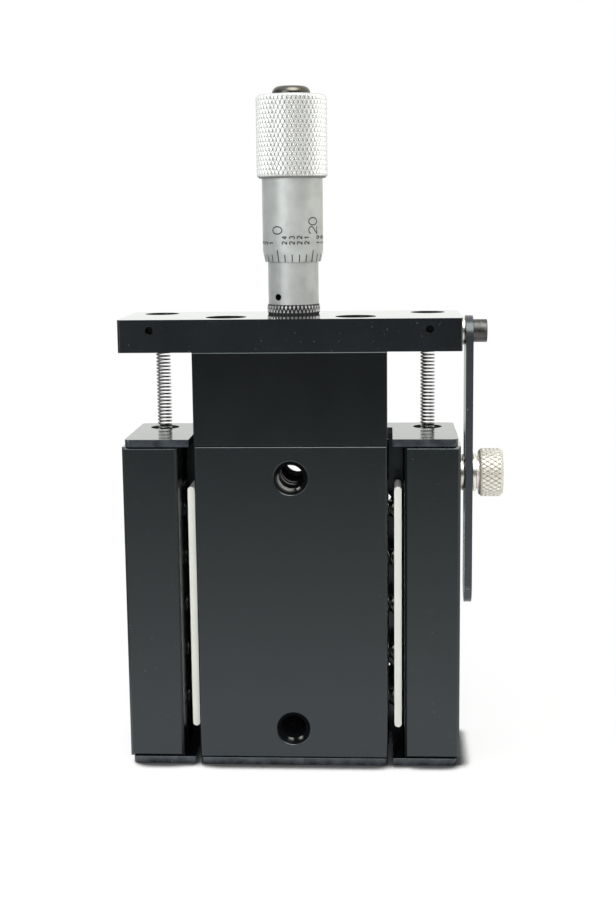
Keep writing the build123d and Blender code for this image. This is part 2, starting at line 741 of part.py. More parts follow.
# Knurled grip pressed on the thimble
with BuildPart() as micrometer_grip:
    with BuildSketch(micrometer_plane(grip_start_height)):
        Circle(grip_diameter / 2)
        Circle(grip_seat_diameter / 2 + seat_gap, mode=Mode.SUBTRACT)
    extrude(amount=cap_seat_height - grip_start_height)
    with BuildSketch(micrometer_plane(cap_seat_height)):
        Circle(grip_diameter / 2)
        Circle(end_cap_diameter / 2 + seat_gap, mode=Mode.SUBTRACT)
    extrude(amount=grip_end_height - cap_seat_height)
    outer_edges = micrometer_grip.edges().filter_by(GeomType.CIRCLE).group_by(SortBy.RADIUS)[-1]
    chamfer([outer_edges.sort_by(Axis.Z)[0], outer_edges.sort_by(Axis.Z)[-1]], length=grip_edge_break)
micrometer_grip.part.label = "micrometer_grip"
export_step(micrometer_grip.part, "parts/micrometer_grip.step")

# End cap with rounded shoulders, whose stem clamps the thimble to the spindle
with BuildPart() as micrometer_end_cap:
    cap_radius = end_cap_diameter / 2
    stem_radius = cap_stem_diameter / 2
    stem_end = cap_seat_height - cap_stem_length
    dome_radius = (cap_radius**2 + end_cap_crown**2) / (2 * end_cap_crown)
    with BuildSketch(micrometer_section) as cap_section:
        with BuildLine():
            Polyline(
                (0, end_cap_crown_height),
                (0, stem_end),
                (stem_radius, stem_end),
                (stem_radius, cap_seat_height),
                (cap_radius, cap_seat_height),
                (cap_radius, end_cap_rim_height),
            )
            RadiusArc((cap_radius, end_cap_rim_height), (0, end_cap_crown_height), -dome_radius)
        make_face()
        rim = Vertex(cap_radius, end_cap_rim_height, 0)
        fillet(cap_section.vertices().sort_by_distance(rim)[0], radius=end_cap_shoulder)
    revolve(axis=micrometer_axis)
micrometer_end_cap.part.label = "micrometer_end_cap"
export_step(micrometer_end_cap.part, "parts/micrometer_end_cap.step")

# Hardened button under the spindle's tip, riveted in the nose of the top end plate
with BuildPart() as thrust_button:
    with BuildSketch(Plane(origin=(0, micrometer_line, spindle_tip - thrust_button_stand))):
        Circle(thrust_button_diameter / 2)
    extrude(amount=thrust_button_stand)
    with BuildSketch(Plane(origin=(0, micrometer_line, carriage_top + seat_gap))):
        Circle(thrust_button_stem_diameter / 2)
    extrude(amount=end_plate_thickness - seat_gap)
thrust_button.part.label = "thrust_button"
export_step(thrust_button.part, "parts/thrust_button.step")

# Slotted lock bar on the plate's end
with BuildPart() as lock_bar:
    with BuildSketch(side_plane(lock_bar_inside)):
        with Locations((lock_bar_line, lock_bar_top - lock_bar_length / 2)):
            RectangleRounded(lock_bar_width, lock_bar_length, lock_bar_corner)
        with Locations((lock_bar_line, plate_middle)):
            Circle(lock_screw_diameter / 2 + seat_gap, mode=Mode.SUBTRACT)
        with Locations((lock_bar_line, thumb_height)):
            SlotCenterToCenter(
                2 * half_travel,
                thumb_shank_diameter + 2 * slot_clearance,
                rotation=90,
                mode=Mode.SUBTRACT,
            )
    extrude(amount=lock_bar_thickness)
lock_bar.part.label = "lock_bar"
export_step(lock_bar.part, "parts/lock_bar.step")

# Washer that keeps the bar off the plate's end
with BuildPart() as lock_bar_spacer:
    with BuildSketch(side_plane(plate_width / 2)):
        with Locations((lock_bar_line, plate_middle)):
            Circle(lock_spacer_diameter / 2)
            Circle(lock_screw_diameter / 2 + seat_gap, mode=Mode.SUBTRACT)
    extrude(amount=lock_spacer_thickness)
lock_bar_spacer.part.label = "lock_bar_spacer"
export_step(lock_bar_spacer.part, "parts/lock_bar_spacer.step")

# Socket head screw that holds the bar
with BuildPart() as lock_bar_screw:
    with BuildSketch(side_plane(lock_bar_outside)):
        with Locations((lock_bar_line, plate_middle)):
            Circle(lock_screw_head_diameter / 2)
    extrude(amount=lock_screw_head_height)
    with BuildSketch(side_plane(lock_bar_outside)):
        with Locations((lock_bar_line, plate_middle)):
            Circle(lock_screw_diameter / 2)
    extrude(amount=-(lock_screw_bite + lock_bar_outside - plate_width / 2))
    with BuildSketch(side_plane(lock_bar_outside + lock_screw_head_height)):
        with Locations((lock_bar_line, plate_middle)):
            RegularPolygon(lock_screw_socket / sqrt(3), 6)
    extrude(amount=-lock_screw_head_height / 2, mode=Mode.SUBTRACT)
lock_bar_screw.part.label = "lock_bar_screw"
export_step(lock_bar_screw.part, "parts/lock_bar_screw.step")


def washer(inside, outside, diameter):
    """Flat washer on the thumbscrew's shank between two X places."""
    with BuildPart() as ring:
        with BuildSketch(side_plane(inside)):
            with Locations((lock_bar_line, thumb_height)):
                Circle(diameter / 2)
                Circle(thumb_shank_diameter / 2 + running_gap, mode=Mode.SUBTRACT)
        extrude(amount=outside - inside)
    return ring.part


# Washer between the carriage's leg and the bar
backing_washer = washer(half_width, lock_bar_inside - 2 * rolling_gap, backing_washer_diameter)
backing_washer.label = "backing_washer"
export_step(backing_washer, "parts/backing_washer.step")

# Washer that the thumbscrew presses on the bar
clamp_washer = washer(lock_bar_outside, washer_outside, clamp_washer_diameter)
clamp_washer.label = "clamp_washer"
export_step(clamp_washer, "parts/clamp_washer.step")

# Knurled thumbscrew
with BuildPart() as thumb_screw:
    with BuildSketch(side_plane(knob_inside)):
        with Locations((lock_bar_line, thumb_height)):
            Circle(thumb_knob_diameter / 2)
    extrude(amount=thumb_knob_thickness)
    chamfer(thumb_screw.edges().filter_by(GeomType.CIRCLE), length=grip_edge_break)
    with BuildSketch(side_plane(washer_outside)):
        with Locations((lock_bar_line, thumb_height)):
            Circle(thumb_shoulder_diameter / 2)
    extrude(amount=thumb_shoulder_thickness)
    with BuildSketch(side_plane(half_width - thumb_shank_bite)):
        with Locations((lock_bar_line, thumb_height)):
            Circle(thumb_shank_diameter / 2)
    extrude(amount=washer_outside + thumb_shank_bite - half_width)
thumb_screw.part.label = "thumb_screw"
export_step(thumb_screw.part, "parts/thumb_screw.step")
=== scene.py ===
"""Dresses and lights a ball bearing linear stage with a micrometer drive.

Lengths are in metres in the model's own frame: X to the right, Y away from the viewer, Z along
the travel. The micrometer's angles start at the viewer's side and grow to the right.
"""

import json
import math

import bmesh
import bpy
import numpy as np
from bpy.props import FloatProperty, FloatVectorProperty, IntProperty, PointerProperty
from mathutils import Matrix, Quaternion, Vector


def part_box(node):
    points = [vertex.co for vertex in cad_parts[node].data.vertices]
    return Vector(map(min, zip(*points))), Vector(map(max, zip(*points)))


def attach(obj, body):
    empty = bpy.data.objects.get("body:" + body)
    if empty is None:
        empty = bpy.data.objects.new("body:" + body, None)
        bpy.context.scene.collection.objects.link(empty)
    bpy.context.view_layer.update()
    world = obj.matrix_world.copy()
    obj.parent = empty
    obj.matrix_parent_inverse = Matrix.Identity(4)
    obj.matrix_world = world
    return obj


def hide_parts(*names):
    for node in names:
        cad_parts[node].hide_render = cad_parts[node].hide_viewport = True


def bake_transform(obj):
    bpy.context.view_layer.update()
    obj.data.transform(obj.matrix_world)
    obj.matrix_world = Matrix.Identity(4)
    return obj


bl_info = {
    "name": "Linear stage dresser",
    "version": (1, 0, 0),
    "blender": (4, 5, 0),
    "location": "3D View > Sidebar > Stage",
    "description": "Finishes, knurls, springs, threads and graduations of a linear stage",
    "category": "Object",
}

MM = 0.001
# Spacing of the points along a wire or an engraved line
FINE_STEP = 0.12 * MM
# Stretch of a noise: even, and into fine lines along an axis
EVEN = (1.0, 1.0, 1.0)
ALONG = {"X": (0.03, 1.0, 1.0), "Z": (1.0, 1.0, 0.03)}

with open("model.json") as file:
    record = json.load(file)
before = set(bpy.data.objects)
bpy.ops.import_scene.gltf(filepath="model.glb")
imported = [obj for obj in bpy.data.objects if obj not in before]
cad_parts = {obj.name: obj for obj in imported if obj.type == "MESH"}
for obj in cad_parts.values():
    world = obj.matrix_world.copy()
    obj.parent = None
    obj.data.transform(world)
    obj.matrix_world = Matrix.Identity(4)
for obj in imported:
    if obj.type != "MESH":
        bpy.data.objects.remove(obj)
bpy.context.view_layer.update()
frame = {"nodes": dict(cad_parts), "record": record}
record = frame["record"]
BODY_OF = {node: body for body, nodes in record["behaviour"]["bodies"].items() for node in nodes}
MOUNTS = {mount["name"]: mount for mount in record["mounts"]}
PLATE_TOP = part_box("micrometer_plate")[1].z
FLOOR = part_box("carriage_bottom_end_plate")[0].z


def middle(node):
    """Centre of a solid's box as an array."""
    low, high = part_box(node)
    return np.array((low + high) / 2)


def half_width(node):
    """Radius of a solid that is turned about a line along the travel."""
    low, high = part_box(node)
    return (high.x - low.x) / 2


# Where the micrometer's centre line leaves the plate
MICROMETER = np.array((*middle("micrometer_sleeve")[:2], PLATE_TOP))


# Shader values


class Value:
    """A node's output; Python's signs between such values and numbers add the Math nodes."""

    def __init__(self, finish, socket):
        self.finish = finish
        self.socket = socket

    def math(self, operation, *values):
        return self.finish.node("ShaderNodeMath", {"operation": operation}, dict(enumerate(values)))

    def __add__(self, other):
        return self.math("ADD", self, other)

    def __sub__(self, other):
        return self.math("SUBTRACT", self, other)

    def __rsub__(self, other):
        return self.math("SUBTRACT", other, self)

    def __mul__(self, other):
        return self.math("MULTIPLY", self, other)

    def __pow__(self, other):
        return self.math("POWER", self, other)

    def least(self, other):
        return self.math("MINIMUM", self, other)

    def most(self, other):
        return self.math("MAXIMUM", self, other)

    def between(self, low, high):
        """0 below low, 1 above high, and a smooth rise between them."""
        rise = {"Value": self, "From Min": low, "From Max": high}
        return self.finish.node("ShaderNodeMapRange", {"interpolation_type": "SMOOTHSTEP"}, rise)

    __radd__ = __add__
    __rmul__ = __mul__


class Finish:
    """The node tree of a material or of the world."""

    def __init__(self, block):
        self.block = block
        block.use_nodes = True
        self.tree = block.node_tree
        self.tree.nodes.clear()

    def node(self, kind, settings=None, sockets=None, output=0):
        """Add a node: its settings come first, then each socket's value or link."""
        made = self.tree.nodes.new(kind)
        for name, setting in (settings or {}).items():
            setattr(made, name, setting)
        for name, value in (sockets or {}).items():
            if isinstance(value, Value):
                self.tree.links.new(value.socket, made.inputs[name])
            else:
                made.inputs[name].default_value = value
        return Value(self, made.outputs[output])

    def place(self, stretch=EVEN, centre=(0.0, 0.0, 0.0)):
        """Object coordinates about a centre, multiplied by a factor for each axis."""
        where = self.node("ShaderNodeTexCoord", output="Object")
        moved = tuple(-place * factor for place, factor in zip(centre, stretch))
        sockets = {"Vector": where, "Location": moved, "Scale": stretch}
        return self.node("ShaderNodeMapping", None, sockets)

    def parts(self, vector):
        """The three parts of a vector."""
        split = self.node("ShaderNodeSeparateXYZ", None, {"Vector": vector}).socket.node
        return [Value(self, socket) for socket in split.outputs]

    def rays(self, *kinds):
        """Whether a ray is of each kind, as 0 or 1."""
        path = self.node("ShaderNodeLightPath").socket.node
        return [Value(self, path.outputs[f"Is {kind} Ray"]) for kind in kinds]

    def noise(self, grain, stretch=EVEN, detail=2.0):
        """Noise from 0 to 1 whose blobs are a grain long, and longer where stretch is below 1."""
        where = self.place(tuple(factor / grain for factor in stretch))
        sockets = {"Vector": where, "Scale": 1.0, "Detail": detail}
        return self.node("ShaderNodeTexNoise", None, sockets)

    def attribute(self, name):
        """A number kept on each point of the mesh."""
        return self.node("ShaderNodeAttribute", {"attribute_name": name}, output="Fac")

    def mix(self, share, first, second):
        """A colour between the first and the second."""
        colours = {0: share, 6: opaque(first), 7: opaque(second)}
        return self.node("ShaderNodeMix", {"data_type": "RGBA"}, colours, output=2)

    def bump(self, height, depth, strength):
        """A surface normal from a height between 0 and 1 times a depth."""
        sockets = {"Height": height, "Distance": depth, "Strength": strength}
        return self.node("ShaderNodeBump", None, sockets)

    def surface(self, colour, **sockets):
        """The principled shader as the finish of the whole surface."""
        named = {"Base Color": opaque(colour)}
        for name, value in sockets.items():
            named[name.replace("_", " ").title().replace("Ior", "IOR")] = value
        return self.end(self.node("ShaderNodeBsdfPrincipled", None, named))

    def end(self, shader, kind="ShaderNodeOutputMaterial"):
        """Link a shader to the output of the material or world, and give that back."""
        made = self.tree.nodes.new(kind)
        self.tree.links.new(shader.socket, made.inputs["Surface"])
        return self.block


def opaque(colour):
    """A colour with its alpha; a linked colour stays as it is."""
    return colour if isinstance(colour, Value) else (*colour[:3], 1.0)


def shade(colour, factor):
    """A colour times a number."""
    return tuple(part * factor for part in colour[:3])


def material(name):
    """The node tree of a new material."""
    return Finish(bpy.data.materials.new(name))


# Finishes


def anodised(name, colour, streaks="Z", wear=0.0, polish=0.0):
    """Black anodised aluminium with a blasted grain and faint mill streaks.

    Wear lightens it, as on rubbed edges. Polish, from 0 to 1, makes it smooth, as on faced ends.
    """
    finish = material(name)
    dull = 1.0 - polish
    cloud = finish.noise(9 * MM, detail=3.0)
    grain = finish.noise(0.22 * MM)
    speck = finish.noise(0.45 * MM, detail=1.0).between(0.74, 0.8)
    streak = finish.noise(0.13 * MM, ALONG[streaks], detail=3.0)
    wear_and_sheen = finish.noise(2.5 * MM, detail=4.0).between(0.35, 0.7) * wear
    base = finish.mix(cloud, shade(colour, 0.8), shade(colour, 1.2))
    base = finish.mix(grain.between(0.45, 0.75) * 0.35, base, shade(colour, 2.2))
    base = finish.mix(wear_and_sheen, base, shade(colour, 9.0))
    base = finish.mix(speck * dull, base, shade(colour, 12.0))
    rough = 0.08 + 0.08 * dull + cloud * (0.02 + 0.06 * dull) + streak * (0.03 + 0.05 * dull)
    relief = finish.bump(streak * 0.4 + grain * 0.6, 0.006 * MM, 0.1 + 0.5 * dull)
    tinted = (0.86, 0.96, 1.0, 1.0)
    gloss = dict(ior=1.66, specular_tint=tinted, coat_weight=polish, coat_roughness=0.08)
    return finish.surface(base, roughness=rough, normal=relief, **gloss)


def turned_metal(name, colour, roughness, stretch, depth=0.003, metallic=1.0, pit=None):
    """Bright metal with fine turning or grinding lines; stretch is small along the lines.

    depth is that of the lines in millimetres. pit is the centre and the radius of a ball in
    which the metal is painted dark, as painted shade in a small hole.
    """
    finish = material(name)
    line = finish.noise(0.07 * MM, stretch, detail=3.0)
    stain = finish.noise(3 * MM, detail=4.0)
    base = finish.mix(stain.between(0.2, 0.8), shade(colour, 0.86), shade(colour, 1.08))
    if pit:
        x, y, z = finish.parts(finish.place(centre=pit[0]))
        away = (x * x + y * y + z * z) ** 0.5
        base = finish.mix(away.between(pit[1] * 0.95, pit[1] * 1.05), (0.005, 0.005, 0.006), base)
    rough = roughness + line * 0.08 + stain * 0.06
    relief = finish.bump(line, depth * MM, 0.6)
    return finish.surface(base, roughness=rough, metallic=metallic, normal=relief)


def knurled_metal(name, colour, groove_shade, roughness, tip_only=False):
    """Knurled metal: painted shade in grooves; bright diamonds, or painted highlight on tips alone.
    """
    finish = material(name)
    bright = finish.attribute("bright")
    bright = bright.between(0.7, 0.98) if tip_only else bright.between(0.0, 0.9)
    scuff = finish.noise(0.5 * MM, detail=3.0)
    bright = bright * (0.8 + scuff * 0.4).least(1.0)
    base = finish.mix(bright, groove_shade, colour)
    rough = roughness + 0.28 - bright * 0.28 + scuff * 0.08
    relief = finish.bump(finish.noise(0.09 * MM), 0.004 * MM, 0.5)
    return finish.surface(base, roughness=rough, metallic=0.1 + bright * 0.4, normal=relief)


def oxide(name, colour):
    """Black oxide on steel, a little worn, with a thin film of oil."""
    finish = material(name)
    patch = finish.noise(0.9 * MM, detail=4.0).between(0.4, 0.8)
    base = finish.mix(patch, colour, shade(colour, 2.6))
    rough = 0.34 + patch * 0.12
    relief = finish.bump(finish.noise(0.1 * MM), 0.004 * MM, 0.6)
    return finish.surface(base, roughness=rough, metallic=0.75, normal=relief)


def plastic(name, colour):
    """Moulded cream plastic with a faint grain."""
    finish = material(name)
    cloud = finish.noise(4 * MM)
    grain = finish.noise(0.12 * MM, detail=3.0)
    base = finish.mix(cloud, shade(colour, 0.95), shade(colour, 1.04))
    relief = finish.bump(grain, 0.006 * MM, 0.7)
    return finish.surface(base, roughness=0.45 + grain * 0.15, normal=relief, ior=1.5)


def tapped(name, colour, crest):
    """Dull black wall of a tapped hole, painted darker than the anodising as shade, and a
    painted highlight on its thread's crests.

    Where it is faint, the painted highlight comes and goes along the hole.
    """
    finish = material(name)
    wear_and_sheen = finish.attribute("bright")
    bands = finish.noise(1.6 * MM, (0.05, 1.0, 0.05)).between(0.42, 0.58)
    bright = wear_and_sheen * bands.most(wear_and_sheen.between(0.7, 0.9))
    grain = finish.noise(0.12 * MM, detail=3.0)
    base = finish.mix(bright, shade(colour, 0.6), crest)
    rough = 0.7 - bright * 0.45 + grain * 0.1
    relief = finish.bump(grain, 0.004 * MM, 0.5)
    metal = dict(metallic=bright * 0.9, specular_ior_level=0.06)
    return finish.surface(base, roughness=rough, normal=relief, **metal)


def ink(name, colour):
    """Paint in an engraved line."""
    finish = material(name)
    speck = finish.noise(0.1 * MM)
    base = finish.mix(speck, shade(colour, 0.7), shade(colour, 1.6))
    return finish.surface(base, roughness=0.5 + speck * 0.2)


# Shapes


def axes(axis):
    """Directions along an axis and across it: where its angles start, and where they are 90."""
    x, y, z = np.eye(3)
    return {"X": (x, y, z), "Y": (y, z, x), "Z": (z, -y, x)}[axis]


def turned(origin, axis, heights, radii, angles):
    """Points of a turned form: origin + height along the axis + radius at the angle across it."""
    along, start, quarter = axes(axis)
    heights, radii, angles = np.broadcast_arrays(heights, radii, angles)
    out = np.cos(angles)[..., None] * start + np.sin(angles)[..., None] * quarter
    return np.asarray(origin) + heights[..., None] * along + radii[..., None] * out


def full_turn(count):
    """Angles of one turn, as a row."""
    return np.arange(count)[None, :] * 2 * np.pi / count


def grid_faces(rows, columns, close_rows=False, crease=None):
    """Faces of a grid of points that closes round each row, and with close_rows also the other way.

    crease tells, for each square, whether to cut it along its first diagonal.
    """
    last = rows if close_rows else rows - 1
    row, column = np.meshgrid(np.arange(last), np.arange(columns), indexing="ij")
    next_row, next_column = (row + 1) % rows, (column + 1) % columns
    a, b = row * columns + column, row * columns + next_column
    d, c = next_row * columns + column, next_row * columns + next_column
    if crease is None:
        return np.stack([a, b, c, d], axis=-1).reshape(-1, 4)
    first = crease(row, column)
    one = np.stack([a, b, np.where(first, c, d)], axis=-1)
    two = np.stack([np.where(first, a, b), c, d], axis=-1)
    return np.concatenate([one.reshape(-1, 3), two.reshape(-1, 3)])


def piece(name, shells, body, finish, sharp, replaces=None):
    """A mesh object from shells of points, faces and how bright the metal is at each point.

    Poles are closed and faces turned outwards.
    """
    points, faces, brightness, count = [], [], [], 0
    for shell_points, shell_faces, shell_bright in shells:
        flat = shell_points.reshape(-1, 3)
        points.append(flat)
        faces.extend((shell_faces + count).tolist())
        brightness.append(np.broadcast_to(shell_bright, shell_points.shape[:-1]).ravel())
        count += len(flat)
    mesh = bpy.data.meshes.new(name)
    mesh.from_pydata(np.concatenate(points).tolist(), [], faces)
    bright = mesh.attributes.new("bright", "FLOAT", "POINT")
    bright.data.foreach_set("value", np.concatenate(brightness))
    shape = bmesh.new()
    shape.from_mesh(mesh)
    bmesh.ops.remove_doubles(shape, verts=shape.verts, dist=0.0002 * MM)
    bmesh.ops.recalc_face_normals(shape, faces=shape.faces)
    shape.to_mesh(mesh)
    shape.free()
    return set_piece(mesh, body, (finish,), sharp, replaces)


def set_piece(mesh, body, finishes, sharp, replaces):
    """Put a finished mesh in the scene, on its body, with its finishes as its materials.

    Edges are shaded smooth up to the angle sharp, in degrees.
    """
    mesh.shade_smooth()
    mesh.set_sharp_from_angle(angle=math.radians(sharp))
    for finish in finishes:
        mesh.materials.append(finish)
    made = bpy.data.objects.new(mesh.name, mesh)
    bpy.context.scene.collection.objects.link(made)
    if body:
        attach(made, body)
    if replaces:
        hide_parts(replaces)
    return made


def rounded(node, radius, finishes):
    """A merged copy of a solid whose sharp edges are rounded.

    Long edges take the second finish and short ones, as round a hole, that of their face. Level
    faces that look up take the third.
    """
    merge, short = 0.002 * MM, 0.9 * MM
    flat, corner, level = math.radians(0.6), math.radians(32), 0.95
    shape = bmesh.new()
    shape.from_mesh(frame["nodes"][node].data)
    bmesh.ops.remove_doubles(shape, verts=shape.verts, dist=merge)
    bmesh.ops.dissolve_limit(shape, angle_limit=flat, verts=shape.verts, edges=shape.edges)
    sharp = [edge for edge in shape.edges if edge.is_manifold and edge.calc_face_angle() > corner]
    rounds = dict(offset=radius, offset_type="OFFSET", segments=2, profile=0.5)
    bmesh.ops.bevel(shape, geom=sharp, affect="EDGES", clamp_overlap=True, material=1, **rounds)
    for face in shape.faces:
        if face.material_index == 1 and max(edge.calc_length() for edge in face.edges) < short:
            face.material_index = 0
        elif face.material_index == 0 and face.normal.z > level:
            face.material_index = 2
    mesh = bpy.data.meshes.new("dressed_" + node)
    shape.to_mesh(mesh)
    shape.free()
    made = set_piece(mesh, BODY_OF[node], finishes, 40.0, node)
    made.modifiers.new("weighted_normals", "WEIGHTED_NORMAL").keep_sharp = True
    return made


def stand_off(mesh, gap):
    """Move the left end of a mesh right by a gap, to part it from the face that it slides on."""
    points = np.empty(len(mesh.vertices) * 3)
    mesh.vertices.foreach_get("co", points)
    across = points[0::3]
    points[0::3] = np.maximum(across, across.min() + gap)
    mesh.vertices.foreach_set("co", points)


def from_grooves(row, column, steps):
    """Distances on a grid from the two families of slanted grooves, which lie steps apart."""
    half = steps / 2
    return [np.abs((place + half) % steps - half) for place in (row + column, row - column)]


def diamonds(rows, columns, steps, shift):
    """Heights of a diamond knurl on a grid: the lesser of two slanted triangle waves, flat on top.

    With them comes the brightness, a painted shade that darkens the grooves and is least where
    two grooves cross.
    """
    row, column = np.meshgrid(np.arange(rows) + shift, np.arange(columns), indexing="ij")
    one, two = from_grooves(row, column, steps)
    height = np.minimum(1.0, np.minimum(one, two) / (steps / 4))
    return height, np.minimum(1.0, height + 0.5 * np.maximum(one, two) / (steps / 2))


def diamond_crease(steps, rows_knurled, shift):
    """Cuts each square of a knurled grid along the groove that lies nearer to its middle."""

    def crease(row, column):
        one, two = from_grooves(row + shift + 0.5, column + 0.5, steps)
        return (two < one) & (row < rows_knurled)

    return crease


def knurled_ring(origin, axis, ends, radius, pattern, bevel, rest, steps=8, shift=0):
    """A knurled rim and the plain profile behind it, as one closed shell.

    The rim's radius is radius less depth times one minus the knurl's height, and never outside
    the cones of the bevels at its ends. rest is the plain profile as (height, radius) pairs, from
    the high end of the rim back to its low end. pattern is the depth, the number of diamonds
    round the rim and the rows of diamonds along it, which overlap by half. A diamond is steps
    grid points wide, and shift moves the pattern down by grid rows.
    """
    low_bevel_shade, high_bright, plain_bright = 0.15, 0.7, 0.8
    low, high = ends
    depth, across, along = pattern
    rows, columns = along * steps // 2 + 1, across * steps
    heights = np.linspace(low, high, rows)[:, None]
    knurl, bright = diamonds(rows, columns, steps, shift)
    cone = radius - bevel + np.minimum(heights - low, high - heights)
    radii = radius - depth * (1 - knurl)
    # Painted shade: the bevel at the low end is painted dark, the one at the high end a little less
    # bright than the diamonds
    bevelled = np.where(heights < (low + high) / 2, low_bevel_shade, high_bright)
    bright = np.where(cone < radii, bevelled, bright)
    plain = np.array(rest)
    everywhere = np.ones((1, columns))
    heights = np.vstack([heights * everywhere, plain[:, :1] * everywhere])
    radii = np.vstack([np.minimum(radii, cone), plain[:, 1:] * everywhere])
    bright = np.vstack([bright, plain_bright * np.ones((len(plain), columns))])
    points = turned(origin, axis, heights, radii, full_turn(columns))
    faces = grid_faces(len(points), columns, True, diamond_crease(steps, rows - 1, shift))
    return points, faces, bright


def swept(path, outward, radius, sides=10):
    """A round wire: circles of the radius across the path, turned by the outward direction."""
    tangent = np.gradient(path, axis=0)
    tangent /= np.linalg.norm(tangent, axis=1)[:, None]
    outward = outward - (outward * tangent).sum(axis=1)[:, None] * tangent
    outward /= np.linalg.norm(outward, axis=1)[:, None]
    aside = np.cross(tangent, outward)
    turn = full_turn(sides)[..., None]
    ring = np.cos(turn) * outward[:, None, :] + np.sin(turn) * aside[:, None, :]
    ends = np.r_[0.0, np.full(len(path), radius), 0.0][:, None, None]
    centres = np.concatenate([path[:1], path, path[-1:]])[:, None, :]
    ring = np.concatenate([ring[:1], ring, ring[-1:]])
    return centres + ends * ring, grid_faces(len(path) + 2, sides), 1.0


def smoothed(path, span):
    """A path whose points are averaged with their neighbours over a span of points."""
    kernel = np.hanning(span + 2)[1:-1]
    kernel /= kernel.sum()
    before, after = (np.repeat(end, span // 2, axis=0) for end in (path[:1], path[-1:]))
    padded = np.concatenate([before, path, after])
    return np.stack([np.convolve(part, kernel, "valid") for part in padded.T], axis=1)


def even(path, step):
    """The same line with its points an even step apart."""
    reach = np.r_[0.0, np.cumsum(np.linalg.norm(np.diff(path, axis=0), axis=1))]
    wanted = np.linspace(0.0, reach[-1], int(reach[-1] / step) + 1)
    return np.stack([np.interp(wanted, reach, part) for part in path.T], axis=1)


def spring_path(radius, bottom, top, turns, leg):
    """Middle line of an extension spring and its outward directions, about its own axis.

    Hook: a straight leg up the side of the coil, half a circle over the axis and a short end.
    Coil: (radius cos t, -radius sin t, height rising evenly with t).
    """
    right, _, upward = np.eye(3)
    mirror = (1, 1, -1)
    turn = np.linspace(0, 2 * np.pi * turns, turns * 40 + 1)
    coil = np.stack([np.cos(turn), -np.sin(turn), 0 * turn], axis=1)
    coil_line = radius * coil + np.linspace(bottom, top, len(turn))[:, None] * upward
    half = np.linspace(0, np.pi, 40)[1:]
    over = np.stack([np.cos(half), 0 * half, np.sin(half)], axis=1)
    bend = top + leg
    rise = np.linspace(top, bend, 12)[1:, None] * upward + radius * right
    arch = radius * over + bend * upward
    drop = np.linspace(bend, bend - leg / 2, 8)[1:, None] * upward - radius * right
    upper = np.concatenate([rise, arch, drop])
    sides = np.concatenate([0 * rise + right, over, 0 * drop - right])
    lower = (upper * mirror + (top + bottom) * upward)[::-1]
    line = np.concatenate([lower, coil_line, upper])
    outward = np.concatenate([(sides * mirror)[::-1], coil, sides])
    both = even(np.hstack([line, outward * MM]), FINE_STEP)
    return smoothed(both[:, :3], 5), both[:, 3:] / MM


def thread(origin, axis, length, root, depth, pitch, flares, painted_crest_light, columns=64, steps=10):
    """Threaded wall of a hole as a closed sleeve.

    Radius = wall less depth times the height of the ridge, whose phase is height over pitch less
    the turn. The wall stands at the root and widens by the flares at 45 degrees to both ends. The
    ridge is a triangle wave of which 3/16 of the pitch is cut flat at the crest and at the foot,
    and it fades out at both ends. painted_crest_light lists where the crests get a painted
    highlight: angle, spread, length from the wider end and brightness, of which a point keeps the
    cube of its ridge's share.
    """
    low, high = flares[0], length - flares[1]
    rows = int(round(length / pitch * steps)) + 1
    heights = np.linspace(0, length, rows)[:, None]
    turn = full_turn(columns)
    phase = (heights / pitch - turn / (2 * np.pi)) % 1.0
    wave = (0.5 - np.abs(phase - 0.5)) * 2
    ridge = np.clip(wave * 1.6 - 0.3, 0, 1)
    fade = np.clip(np.minimum(heights, length - heights) / depth, 0, 1)
    wall = root + np.maximum(0.0, np.maximum(low - heights, heights - high))
    inside = wall - depth * ridge * fade
    back_heights = np.array((length, high, low, 0.0))[:, None]
    back = np.array((root + flares[1], root, root, root + flares[0]))[:, None]
    radii = np.vstack([inside, back + 0.005 * MM + 0 * turn])
    points = turned(origin, axis, np.vstack([heights, back_heights]), radii, turn)
    inward = heights if flares[0] > flares[1] else length - heights
    wear_and_sheen = 0 * inward
    for angle, spread, far, bright in painted_crest_light:
        limit = math.cos(math.radians(spread))
        side = np.clip((np.cos(turn - math.radians(angle)) - limit) / (1 - limit) * 2, 0, 1)
        wear_and_sheen = wear_and_sheen + bright * side * np.clip((far - inward) / pitch, 0, 1)
    bright = np.vstack([(ridge * fade) ** 3 * wear_and_sheen, 0 * back + 0 * turn])
    return points, grid_faces(len(points), columns, True), bright


def arc(across, up, wide, tall, start, end, count=14):
    """Points of part of an ellipse between two angles in degrees."""
    turn = np.radians(np.linspace(start, end, count))
    return np.stack([across + wide * np.cos(turn), up + tall * np.sin(turn)], axis=1)


def digit(number):
    """Strokes of a figure in a box one wide and one tall, as on an engraved dial."""
    ring = arc(0.5, 0.31, 0.5, 0.31, 0, 360, 24)
    stem = arc(0.95, 0.31, 0.95, 0.69, 112, 180, 10)
    belly = arc(0.46, 0.31, 0.5, 0.31, 130, -150, 18)
    six = [ring, stem]
    strokes = {
        0: [arc(0.5, 0.5, 0.48, 0.5, 90, 450, 28)],
        1: [np.array([(0.2, 0.78), (0.58, 1.0), (0.58, 0.0)])],
        2: [np.vstack([arc(0.5, 0.7, 0.46, 0.3, 165, -35), [(0.02, 0.0), (1.0, 0.0)]])],
        3: [arc(0.46, 0.76, 0.4, 0.24, 150, -80), arc(0.46, 0.27, 0.5, 0.27, 80, -155, 18)],
        4: [np.array([(0.74, 0.0), (0.74, 1.0), (0.0, 0.28), (1.0, 0.28)])],
        5: [np.vstack([[(0.92, 1.0), (0.16, 1.0), (0.08, 0.52)], belly])],
        6: six,
        7: [np.array([(0.0, 1.0), (1.0, 1.0), (0.36, 0.0)])],
        8: [arc(0.5, 0.76, 0.38, 0.24, 0, 360, 20), arc(0.5, 0.26, 0.5, 0.26, 0, 360, 24)],
        9: [1.0 - stroke for stroke in six],
    }
    return strokes[number]


